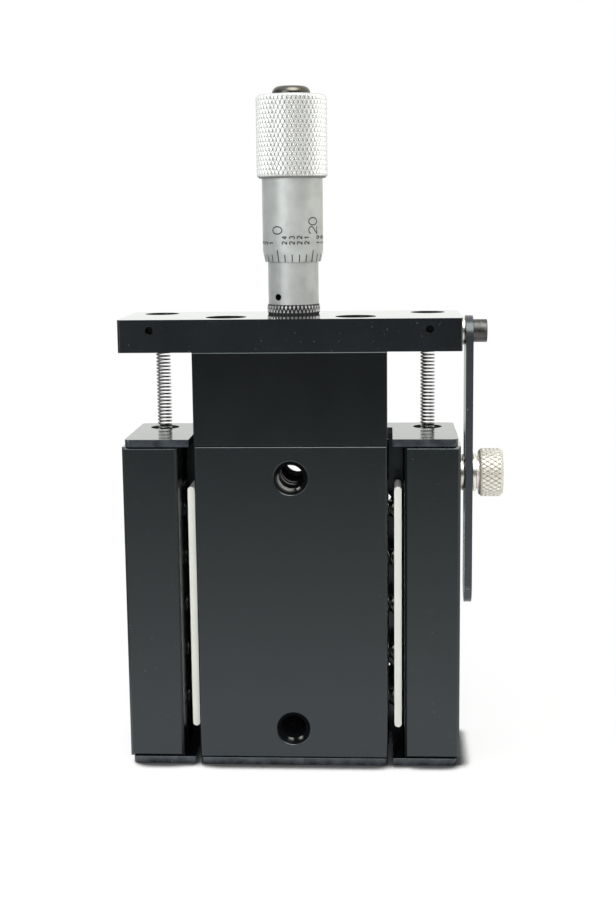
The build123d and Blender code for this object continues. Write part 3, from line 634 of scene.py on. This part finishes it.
def figures(number, wide, tall, pitch):
    """Strokes of a whole number, in metres from the lower left of its first figure."""
    strokes = []
    for place, letter in enumerate(str(number)):
        for stroke in digit(int(letter)):
            strokes.append(stroke * (wide, tall) + (place * pitch, 0.0))
    return strokes


def ribbon(line, width, mould):
    """A raised line: a box section carried along the line and bent on to a round surface.

    mould takes sideways places, heights and the distance from the surface, and gives points.
    """
    proud, sunk = 0.01 * MM, 0.03 * MM
    line = even(line, FINE_STEP)
    tangent = np.gradient(line, axis=0)
    tangent /= np.maximum(np.linalg.norm(tangent, axis=1), 1e-12)[:, None]
    aside = np.stack([-tangent[:, 1], tangent[:, 0]], axis=1) * width / 2
    left, right = line + aside, line - aside
    flat = np.stack([left, right, right, left], axis=1)
    lift = np.array([proud, proud, -sunk, -sunk])[None, :]
    points = mould(flat[..., 0], flat[..., 1], np.broadcast_to(lift, flat.shape[:2]))
    faces = grid_faces(len(line), 4)
    caps = np.arange(4) + np.array([[0], [4 * (len(line) - 1)]])
    return points, np.concatenate([faces, caps]), 1.0


# Settings


def length(name, description, millimetres):
    """A length that the user may change."""
    limits = dict(unit="LENGTH", precision=5, min=0.0)
    return FloatProperty(name=name, description=description, default=millimetres * MM, **limits)


def tint(name, description, colour):
    """A colour that the user may change."""
    limits = dict(subtype="COLOR", size=3, min=0.0, max=1.0)
    return FloatVectorProperty(name=name, description=description, default=colour, **limits)


def number(name, description, count):
    """A count that the user may change."""
    return IntProperty(name=name, description=description, default=count, min=1)


def strength(name, description, value, **limits):
    """The strength of a light, or a share, that the user may change."""
    return FloatProperty(name=name, description=description, default=value, min=0.0, **limits)


class StageSizes(bpy.types.PropertyGroup):
    """Sizes that the solids leave to the visible pieces."""

    edge_round: length("Edge round", "Rounding of the machined edges", 0.13)
    small_edge_round: length("Small edge round", "Rounding of the edges of screws and washers", 0.1)
    wire: length("Spring wire", "Diameter of the spring wire", 0.36)
    spring_turns: number("Spring turns", "Turns of each extension spring", 37)
    hook_leg: length("Hook leg", "Straight part of a spring's hook", 1.2)
    grip_across: number("Grip across", "Diamonds round the grip", 48)
    grip_rows: number("Grip rows", "Rows of diamonds along the grip", 18)
    grip_depth: length("Grip depth", "Depth of the grip's grooves", 0.26)
    nut_across: number("Nut across", "Diamonds round the lock nut", 40)
    nut_rows: number("Nut rows", "Rows of diamonds on the lock nut", 2)
    nut_depth: length("Nut depth", "Depth of the lock nut's grooves", 0.3)
    knob_across: number("Knob across", "Diamonds round the thumbscrew", 30)
    knob_rows: number("Knob rows", "Rows of diamonds along the thumbscrew", 6)
    knob_depth: length("Knob depth", "Depth of the thumbscrew's grooves", 0.26)
    thread_pitch: length("Thread pitch", "Pitch of the mounting threads", 1.27)
    small_thread_pitch: length("Small thread pitch", "Pitch of the corner threads", 0.794)
    line_width: length("Line width", "Width of an engraved line", 0.22)
    division: length("Division", "Travel of one turn of the thimble", 0.635)
    first_mark: length("First mark", "Height of the sleeve's zero above the plate", 3.785)


class StageFinishes(bpy.types.PropertyGroup):
    """Colours of the finishes."""

    black: tint("Anodised", "Black anodised aluminium", (0.0032, 0.0036, 0.0044))
    oxide: tint("Black oxide", "Oiled black oxide of the screws", (0.055, 0.053, 0.052))
    chrome: tint("Satin chrome", "Sleeve and thimble", (0.6, 0.615, 0.605))
    bright: tint("Bright knurl", "Diamonds of the grip", (0.88, 0.885, 0.875))
    nickel: tint("Nickel", "Thumbscrew and washers", (0.86, 0.83, 0.76))
    steel: tint("Steel", "Rods, pins and spindle", (0.52, 0.52, 0.53))
    wire: tint("Spring wire", "Extension springs", (0.36, 0.36, 0.35))
    balls: tint("Balls", "Polished balls", (0.9, 0.9, 0.9))
    cream: tint("Cream plastic", "Ball retainers", (0.93, 0.94, 0.86))
    cap: tint("Darkened steel", "End cap of the micrometer", (0.148, 0.137, 0.12))
    ink: tint("Ink", "Engraved lines and figures", (0.02, 0.022, 0.024))


class StudioSettings(bpy.types.PropertyGroup):
    """Camera and light."""

    lens: strength("Lens", "Focal length for a 36 mm wide sensor", 58.526, unit="CAMERA")
    world_light: strength("World light", "Strength of the room's soft light", 0.5)
    key_light: strength("Key light", "Power of the large light above, in watts", 0.55)
    side_light: strength("Side light", "Power of the light from the left, in watts", 0.3)
    front_light: strength("Front light", "Power of the light beside the camera, in watts", 1.85)
    mirrored_lamp: strength("Mirrored lamp", "Strength of the lamp that bright metal mirrors", 2.4)
    overhead_lamp: strength("Overhead lamp", "Strength of the lamp above in mirrored light", 5.0)
    floor_white: strength("Floor white", "Share of plain white that the camera sees", 0.6, max=1.0)


def settings(context):
    """The sizes and the finishes of the scene."""
    return context.scene.stage_sizes, context.scene.stage_finishes


def knurl_of(sizes, name):
    """A knurl's depth, diamonds round it and rows along it."""
    return [getattr(sizes, f"{name}_{key}") for key in ("depth", "across", "rows")]


# Operators


class DressSolids(bpy.types.Operator):
    """Give every solid its finish, and round the edges of the machined ones"""

    bl_idname = "stage.dress_solids"
    bl_label = "Dress the solids"

    def execute(self, context):
        sizes, colours = settings(context)
        upright = anodised("anodised_upright", colours.black)
        # Painted light: the plate's black is 1.7 times the base's, as more light falls on its front
        level = anodised("anodised_level", shade(colours.black, 1.7), "X")
        # Painted shade: the spacer block's black is a fifth of the base's, as the shade under the
        # plate
        shaded_spacer = anodised("anodised_spacer", shade(colours.black, 0.2))
        sheared = anodised("anodised_end_plate", shade(colours.black, 3.6), "X", wear=0.3)
        edge = anodised("anodised_edge", shade(colours.black, 2.0), wear=0.25)
        faced = anodised("anodised_faced", colours.black, "X", polish=1.0)
        sheared_face = anodised("anodised_end_plate_face", colours.black, "X", polish=0.6)
        bar = anodised("anodised_bar", shade(colours.black, 8.0))
        black = oxide("black_oxide", colours.oxide)
        black_edge = oxide("black_oxide_edge", shade(colours.oxide, 2.0))
        # Painted shade: the upper spring pins are almost black, as the shade in their holes
        shaded_pin = oxide("black_oxide_pin", shade(colours.oxide, 0.1))
        grey = oxide("grey_oxide", shade(colours.oxide, 1.2))
        warm = turned_metal("darkened_cap", colours.cap, 0.22, EVEN)
        nickel = turned_metal("nickel_plate", colours.nickel, 0.24, ALONG["X"])
        nickel_edge = turned_metal("nickel_edge", shade(colours.nickel, 1.1), 0.2, EVEN)
        satin = (colours.chrome, 0.38, (0.02, 0.02, 1.0))
        bare = (shade(colours.chrome, 1.15), 0.22, (0.02, 0.02, 1.0))
        chrome = turned_metal("satin_chrome", *satin, metallic=0.6)
        chrome_edge = turned_metal("satin_chrome_edge", *bare, metallic=0.8)
        # The sleeve's wrench hole, painted dark inside as shade: its height, depth, angle and
        # radius
        hole = turned(MICROMETER, "Z", 3.5 * MM, 4.25 * MM, math.radians(-33.6))
        chrome_with_hole_shade = turned_metal("satin_chrome_sleeve", *satin, metallic=0.6, pit=(hole, 1.05 * MM))
        ground = turned_metal("ground_steel", colours.steel, 0.2, ALONG["Z"])
        # Painted shade: the way rods are a quarter as bright as steel, as the shade in their slots
        slot_shaded_rod = turned_metal("oiled_rod", shade(colours.steel, 0.25), 0.2, ALONG["Z"])
        cream = plastic("cream_plastic", colours.cream)
        mirror = turned_metal("polished_ball", colours.balls, 0.06, EVEN, 0.0005)
        large, small = sizes.edge_round, sizes.small_edge_round
        dressed = {
            "base_slide": (upright, edge, large),
            "spacer_block": (shaded_spacer, shaded_spacer, large / 4),
            "carriage": (upright, edge, 1.7 * large),
            "lock_bar": (bar, edge, 2 * large),
            "micrometer_plate": (level, edge, 2 * large),
            "base_end_plate": (sheared, edge, large),
            "carriage_top_end_plate carriage_bottom_end_plate": (sheared, edge, large),
            "lock_bar_screw": (grey, grey, 6 * small),
            "plate_screws": (black, black_edge, 2 * small),
            "carriage_end_plate_screws base_end_plate_screws": (black, black_edge, small / 2),
            "preload_set_screws": (black, black_edge, small / 2),
            "micrometer_end_cap": (warm, warm, small),
            "clamp_washer backing_washer lock_bar_spacer": (nickel, nickel_edge, small),
            "micrometer_sleeve": (chrome_with_hole_shade, chrome_edge, small / 2),
            "micrometer_thimble": (chrome, chrome_edge, small / 2),
            "thrust_button": (ground, ground, small),
            "upper_spring_pins": (shaded_pin, shaded_pin, small),
            "lower_spring_pins": (ground, ground, small),
        }
        for nodes, (finish, edge_finish, radius) in dressed.items():
            top_finish = {upright: faced, level: faced, sheared: sheared_face}.get(finish, finish)
            for node in nodes.split():
                made = rounded(node, radius, (finish, edge_finish, top_finish))
                if node == "clamp_washer":
                    stand_off(made.data, 0.01 * MM)
        kept = {
            "left_ball_retainer right_ball_retainer": cream,
            "left_balls right_balls": mirror,
            "base_way_rods carriage_way_rods": slot_shaded_rod,
            "preload_strip micrometer_spindle micrometer_adjusting_nut": ground,
        }
        for nodes, finish in kept.items():
            for node in nodes.split():
                for place in frame["nodes"][node].material_slots:
                    place.material = finish
        return {"FINISHED"}


class WindSprings(bpy.types.Operator):
    """Wind the two extension springs, with a hook over each pin"""

    bl_idname = "stage.wind_springs"
    bl_label = "Wind the springs"

    def execute(self, context):
        sizes, colours = settings(context)
        node = "extension_springs"
        low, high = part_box(node)
        across = (high.y - low.y) / 2
        radius = across - sizes.wire / 2
        hook = sizes.hook_leg + across
        bottom, top = low.z + hook, high.z - hook
        path, outward = spring_path(radius, bottom, top, sizes.spring_turns, sizes.hook_leg)
        line = (low.y + high.y) / 2
        shells = []
        for side in (low.x + across, high.x - across):
            shells.append(swept(path + (side, line, 0.0), outward, sizes.wire / 2))
        wire = turned_metal("spring_wire", colours.wire, 0.26, (1.0, 1.0, 0.2), 0.002)
        springs = piece("wound_springs", shells, None, wire, 60.0, node)
        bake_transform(springs)
        return {"FINISHED"}


class KnurlMicrometer(bpy.types.Operator):
    """Knurl the micrometer's grip and its lock nut"""

    bl_idname = "stage.knurl_micrometer"
    bl_label = "Knurl the micrometer"

    def execute(self, context):
        sizes, colours = settings(context)
        node = "micrometer_grip"
        low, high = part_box(node)
        bottom, top = low.z - PLATE_TOP, high.z - PLATE_TOP
        radius, neck, bevel = half_width(node), 5.42 * MM, 0.5 * MM
        cap, seat = half_width("micrometer_end_cap") + 0.02 * MM, top - 2.0 * MM
        lip = [(top, cap + 0.25 * MM), (top - 0.2 * MM, cap)]
        rest = [*lip, (seat, cap), (seat, neck), (bottom, neck)]
        knurl = knurl_of(sizes, "grip")
        grip = knurled_ring(MICROMETER, "Z", (bottom, top), radius, knurl, bevel, rest)
        # The grip's grooves are painted dark grey as shade
        bright = knurled_metal("bright_knurl", colours.bright, (0.16, 0.16, 0.155), 0.2)
        piece("knurled_grip", [grip], "thimble", bright, 24.0, node)

        node = "micrometer_lock_nut"
        low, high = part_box(node)
        radius, bore, bevel = half_width(node), 4.7825 * MM, 0.2 * MM
        ends = (0.0, high.z - low.z)
        rest = [(ends[1], bore), (ends[0], bore)]
        knurl = knurl_of(sizes, "nut")
        nut = knurled_ring(MICROMETER, "Z", ends, radius, knurl, bevel, rest, steps=4, shift=1)
        # The nut's own black in its grooves, and a painted highlight of grey on the diamonds' tips
        black, painted_crest_light = (0.02, 0.02, 0.021), (0.5, 0.5, 0.5)
        dark = knurled_metal("black_knurl", painted_crest_light, black, 0.25, tip_only=True)
        piece("knurled_lock_nut", [nut], "base", dark, 24.0, node)
        return {"FINISHED"}


class TurnThumbscrew(bpy.types.Operator):
    """Turn and knurl the thumbscrew that locks the slide"""

    bl_idname = "stage.turn_thumbscrew"
    bl_label = "Turn the thumbscrew"

    def execute(self, context):
        sizes, colours = settings(context)
        node = "thumb_screw"
        low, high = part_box(node)
        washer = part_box("clamp_washer")[1].x
        centre = np.array((low.x, *middle(node)[1:]))
        radius, bevel = (high.z - low.z) / 2, 0.5 * MM
        shoulder, shank, point, hollow = 3.3 * MM, 1.7 * MM, 0.3 * MM, 3.2 * MM
        ends = (washer + 0.55 * MM - low.x, high.x - low.x)
        seat, dish = washer - low.x, ends[1] - 0.12 * MM
        face = [(ends[1], hollow + 0.2 * MM), (dish, hollow), (dish, 0.0)]
        stem = [(0.0, 0.0), (0.0, shank - point), (point, shank), (seat, shank)]
        rest = [*face, *stem, (seat, shoulder), (ends[0], shoulder)]
        knob = knurled_ring(centre, "X", ends, radius, knurl_of(sizes, "knob"), bevel, rest)
        # The thumbscrew's grooves are painted dark brown as shade
        warm = knurled_metal("nickel_knurl", shade(colours.nickel, 0.95), (0.25, 0.23, 0.19), 0.24)
        piece("knurled_thumbscrew", [knob], "thumb_screw", warm, 24.0, node)
        return {"FINISHED"}


class CutThreads(bpy.types.Operator):
    """Cut the threads of the mounting holes"""

    bl_idname = "stage.cut_threads"
    bl_label = "Cut the threads"

    def execute(self, context):
        sizes, colours = settings(context)
        # The thread's wall is the anodised black, and the last colour is the painted highlight on
        # the crests
        black = tapped("black_thread", colours.black, (0.9, 0.9, 0.86))
        # Painted highlight on the crests of the upper and the lower holes: angle, spread, length
        # from the mouth and brightness
        upper_crest_light = [(224, 62, 11 * MM, 0.42), (147, 8, 2.1 * MM, 1.0)]
        lower_crest_glints = [(194, 11, 2.1 * MM, 1.0), (149, 9, 2.1 * MM, 1.0)]
        depth = 0.54  # of the pitch, for flanks at 60 degrees
        end_gap, wall_gap = 0.12 * MM, 0.01 * MM
        front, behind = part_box("base_slide")[0].y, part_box("carriage")[1].y
        web = behind - 7.5 * MM
        groove = middle("micrometer_spindle")[1] - 2.95 * MM
        coarse, fine = sizes.thread_pitch, sizes.small_thread_pitch
        in_base, in_carriage = (0.155 * MM, 0.0), (0.0, 0.38 * MM)
        holes = {
            "base_holes": ("base_slide", front, groove, coarse, in_base),
            "load_holes": ("carriage", web, behind, coarse, in_carriage),
            "corner_holes": ("carriage", web, behind, fine, in_carriage),
        }
        for name, (node, low, high, pitch, flares) in holes.items():
            dims = MOUNTS[name]["dims"]
            root = dims["hole_r_mm"] * MM - wall_gap
            rise = dims["spacing_y_mm"] * MM / 2
            aside = dims.get("spacing_x_mm", 0.0) * MM / 2
            start = low + end_gap
            deep = high - end_gap - start
            shells = []
            for x, z in sorted({(x, z) for x in (-aside, aside) for z in (-rise, rise)}):
                painted_crest_light = [] if node == "carriage" else upper_crest_light if z > 0 else lower_crest_glints
                wall = (deep, root, depth * pitch, pitch, flares)
                shells.append(thread((x, start, z), "Y", *wall, painted_crest_light))
            threads = name.replace("holes", "threads")
            piece(threads, shells, BODY_OF[node], black, 28.0)
        return {"FINISHED"}


class MarkMicrometer(bpy.types.Operator):
    """Engrave the divisions and figures of the thimble and the sleeve"""

    bl_idname = "stage.mark_micrometer"
    bl_label = "Mark the micrometer"

    def execute(self, context):
        sizes, colours = settings(context)
        paint = ink("engraving_ink", colours.ink)
        width = sizes.line_width
        edge, bevel, rim = 10.4 * MM, 12.7 * MM, 5.55 * MM
        thimble, sleeve = half_width("micrometer_thimble"), 5.05 * MM

        def on_thimble(side, height, lift):
            """Angle = sideways place over radius, on the edge's cone and the cylinder above it."""
            radius = np.interp(height, (edge, bevel), (rim, thimble)) + lift
            return turned(MICROMETER, "Z", height, radius, side / thimble)

        def on_sleeve(side, height, lift):
            """Angle = sideways place over radius, from the sleeve's back."""
            return turned(MICROMETER, "Z", height, sleeve + lift, np.pi + side / sleeve)

        shells, divisions, zero = [], 25, -27.0
        for division in range(divisions):
            angle = math.radians(zero - 360 / divisions * division) * thimble
            long = division % 5 == 0
            top = 12.8 * MM if long else 11.9 * MM
            lines = [np.array([(angle, edge + 0.05 * MM), (angle, top)])]
            wide, tall, pitch, start = (1.5, 2.1, 1.7, 15.9) if long else (0.55, 0.95, 1.05, 13.9)
            for stroke in figures(division, wide * MM, tall * MM, pitch * MM):
                side = angle - (stroke[:, 1] - tall * MM / 2)
                lines.append(np.stack([side, start * MM + stroke[:, 0]], axis=1))
            shells += [ribbon(line, width, on_thimble) for line in lines]
        piece("thimble_marks", shells, "thimble", paint, 40.0)

        first, step, turns = sizes.first_mark, sizes.division, 20
        wide, tall, pitch, start = 0.8 * MM, 1.2 * MM, 1.0 * MM, 2.7 * MM
        lines = [np.array([(0.0, first - 0.6 * MM), (0.0, first + turns * step)])]
        for mark in range(turns + 1):
            height = first + mark * step
            long = mark % 4 == 0
            lines.append(np.array([(0.0, height), ((2.4 if long else 1.2) * MM, height)]))
            if long:
                for stroke in figures(mark // 4, wide, tall, pitch):
                    lines.append(stroke + (start, height - tall / 2))
        shells = [ribbon(line, width, on_sleeve) for line in lines]
        piece("sleeve_marks", shells, "base", paint, 40.0)
        return {"FINISHED"}


class SetStudio(bpy.types.Operator):
    """Set the camera, the pale floor, the room and the soft lights"""

    bl_idname = "stage.set_studio"
    bl_label = "Set the studio"

    def execute(self, context):
        scene = context.scene
        studio = scene.studio_settings
        scene.view_settings.view_transform = "Standard"
        self.camera(scene, studio)
        self.room(scene, studio)
        self.floor(scene, studio)
        lamps = {
            "key_light": ((-0.12, -0.22, 0.5), (0.0, 0.0, 0.03), 0.5),
            "side_light": ((-0.5, -0.12, 0.16), (0.0, 0.0, 0.02), 0.35),
            "front_light": ((0.04, -0.5, 0.16), (0.0, 0.0, 0.02), 0.14),
        }
        for name, (place, target, size) in lamps.items():
            self.light(scene, name, place, target, size, getattr(studio, name))
        return {"FINISHED"}

    def camera(self, scene, studio):
        """The photograph's camera: in front of the stage, a little above it and to the right."""
        lens = bpy.data.cameras.new("camera")
        lens.lens = studio.lens
        lens.clip_start = 0.01
        camera = bpy.data.objects.new("camera", lens)
        camera.location = (0.01927, -0.27902, 0.07637)
        forward = Vector((-0.05578507, 0.98549907, -0.16024857))
        roll = Quaternion((0.0, 0.0, 1.0), math.radians(-0.618))
        camera.rotation_mode = "QUATERNION"
        camera.rotation_quaternion = forward.to_track_quat("-Z", "Y") @ roll
        scene.collection.objects.link(camera)
        scene.camera = camera

    def room(self, scene, studio):
        """White to the camera, soft light on dull surfaces, and a room with lamps in the mirror.

        That room is dark on the viewer's side up to half its height, dimmer to the left and the
        right, and has a lamp to the left of the viewer and one overhead.
        """
        world = bpy.data.worlds.new("room")
        scene.world = world
        finish = Finish(world)
        seen, glossy, clear = finish.rays("Camera", "Glossy", "Transmission")
        direction = finish.node("ShaderNodeTexCoord", output="Generated")
        x, y, z = finish.parts(direction)
        front = (0.0 - y).between(0.25, 0.75)
        dark = front * (0.6 - z).between(0.0, 0.3) * (0.27 + z).between(0.0, 0.13)
        sides = (0.0 - x).between(0.5, 0.95) * 0.7 + x.between(0.5, 0.95) * 0.2
        lamp = (z * 0.2 - x * 0.58 - y * 0.79).between(0.93, 0.98) * studio.mirrored_lamp
        overhead = (z * 0.86 - y * 0.48 + x * 0.17).between(0.86, 0.95) * studio.overhead_lamp
        mirrored = 1.0 - dark * 0.97 - sides + lamp + overhead
        plain = seen.most(clear)
        lit = glossy * mirrored + (1.0 - glossy) * studio.world_light
        light = plain + (1.0 - plain) * lit
        side = finish.mix(x.between(-0.8, 0.8), (0.97, 1.0, 1.0), (1.0, 1.0, 0.93))
        colour = finish.mix(plain, side, (1.0, 1.0, 1.0))
        shader = finish.node("ShaderNodeBackground", None, {"Color": colour, "Strength": light})
        finish.end(shader, "ShaderNodeOutputWorld")

    def floor(self, scene, studio):
        """A round floor that fades out, with a painted contact shadow under the feet.

        Radius = the outermost radius times the square of an even step from 0 to 1.
        """
        rings, spokes, widest = 40, 96, 0.6
        radii = np.linspace(0.0, 1.0, rings)[:, None] ** 2 * widest
        points = turned((0.0, 0.0, FLOOR), "Z", 0.0 * radii, radii, full_turn(spokes))
        mesh = bpy.data.meshes.new("floor")
        mesh.from_pydata(points.reshape(-1, 3).tolist(), [], grid_faces(rings, spokes).tolist())
        floor = bpy.data.objects.new("floor", mesh)
        scene.collection.objects.link(floor)
        finish = material("pale_floor")
        x, y, _ = finish.parts(finish.place())
        reach = (x * x + y * y) ** 0.5
        seen, glossy = finish.rays("Camera", "Glossy")
        # Painted contact shadow: an ambient occlusion that leans back and to the left darkens the
        # floor's colour and takes out its plain white, just in front of the feet and to their right
        lean = finish.node("ShaderNodeCombineXYZ", None, {0: -0.5, 1: 0.65, 2: 0.55})
        near = {"Distance": 4.5 * MM, "Normal": lean}
        open_air = finish.node("ShaderNodeAmbientOcclusion", {"samples": 16}, near, "AO")
        painted_contact_shadow = open_air.between(0.5, 0.8)
        grey = finish.mix(painted_contact_shadow, (0.1, 0.1, 0.1), (0.88, 0.88, 0.88))
        matt = finish.node("ShaderNodeBsdfDiffuse", None, {"Color": grey})
        glow = {"Color": (1.0, 1.0, 1.0, 1.0), "Strength": 1.25}
        white = finish.node("ShaderNodeEmission", None, glow)
        clear = finish.node("ShaderNodeBsdfTransparent")
        plain = seen.most(glossy) * painted_contact_shadow * studio.floor_white
        lit = finish.node("ShaderNodeMixShader", None, {0: plain, 1: matt, 2: white})
        fade = reach.between(0.05, 0.12)
        faded = finish.node("ShaderNodeMixShader", None, {0: fade, 1: lit, 2: clear})
        mesh.materials.append(finish.end(faded))

    def light(self, scene, name, place, target, size, power):
        """A square lamp that lights dull surfaces and isn't mirrored."""
        lamp = bpy.data.lights.new(name, "AREA")
        lamp.size = size
        lamp.energy = power
        made = bpy.data.objects.new(name, lamp)
        made.location = place
        made.visible_glossy = False
        made.rotation_mode = "QUATERNION"
        made.rotation_quaternion = (Vector(target) - Vector(place)).to_track_quat("-Z", "Y")
        scene.collection.objects.link(made)


PIECES = (DressSolids, WindSprings, KnurlMicrometer, TurnThumbscrew, CutThreads, MarkMicrometer)
STEPS = (*PIECES, SetStudio)
GROUPS = {
    "stage_sizes": StageSizes,
    "stage_finishes": StageFinishes,
    "studio_settings": StudioSettings,
}


class StagePanel(bpy.types.Panel):
    """Lists the steps and their settings in the sidebar"""

    bl_idname = "STAGE_PT_steps"
    bl_label = "Linear stage"
    bl_space_type = "VIEW_3D"
    bl_region_type = "UI"
    bl_category = "Stage"

    def draw(self, context):
        for step in STEPS:
            self.layout.operator(step.bl_idname)
        for held in GROUPS:
            group = getattr(context.scene, held)
            box = self.layout.box()
            for name in group.__annotations__:
                box.prop(group, name)


CLASSES = (*GROUPS.values(), *STEPS, StagePanel)


def register():
    for kind in CLASSES:
        bpy.utils.register_class(kind)
    for name, group in GROUPS.items():
        setattr(bpy.types.Scene, name, PointerProperty(type=group))


def unregister():
    for name in GROUPS:
        delattr(bpy.types.Scene, name)
    for kind in reversed(CLASSES):
        bpy.utils.unregister_class(kind)


def main():
    """Make every piece in order."""
    register()
    bpy.ops.stage.dress_solids()
    bpy.ops.stage.wind_springs()
    bpy.ops.stage.knurl_micrometer()
    bpy.ops.stage.turn_thumbscrew()
    bpy.ops.stage.cut_threads()
    bpy.ops.stage.mark_micrometer()
    bpy.ops.stage.set_studio()


if __name__ == "__main__":
    main()
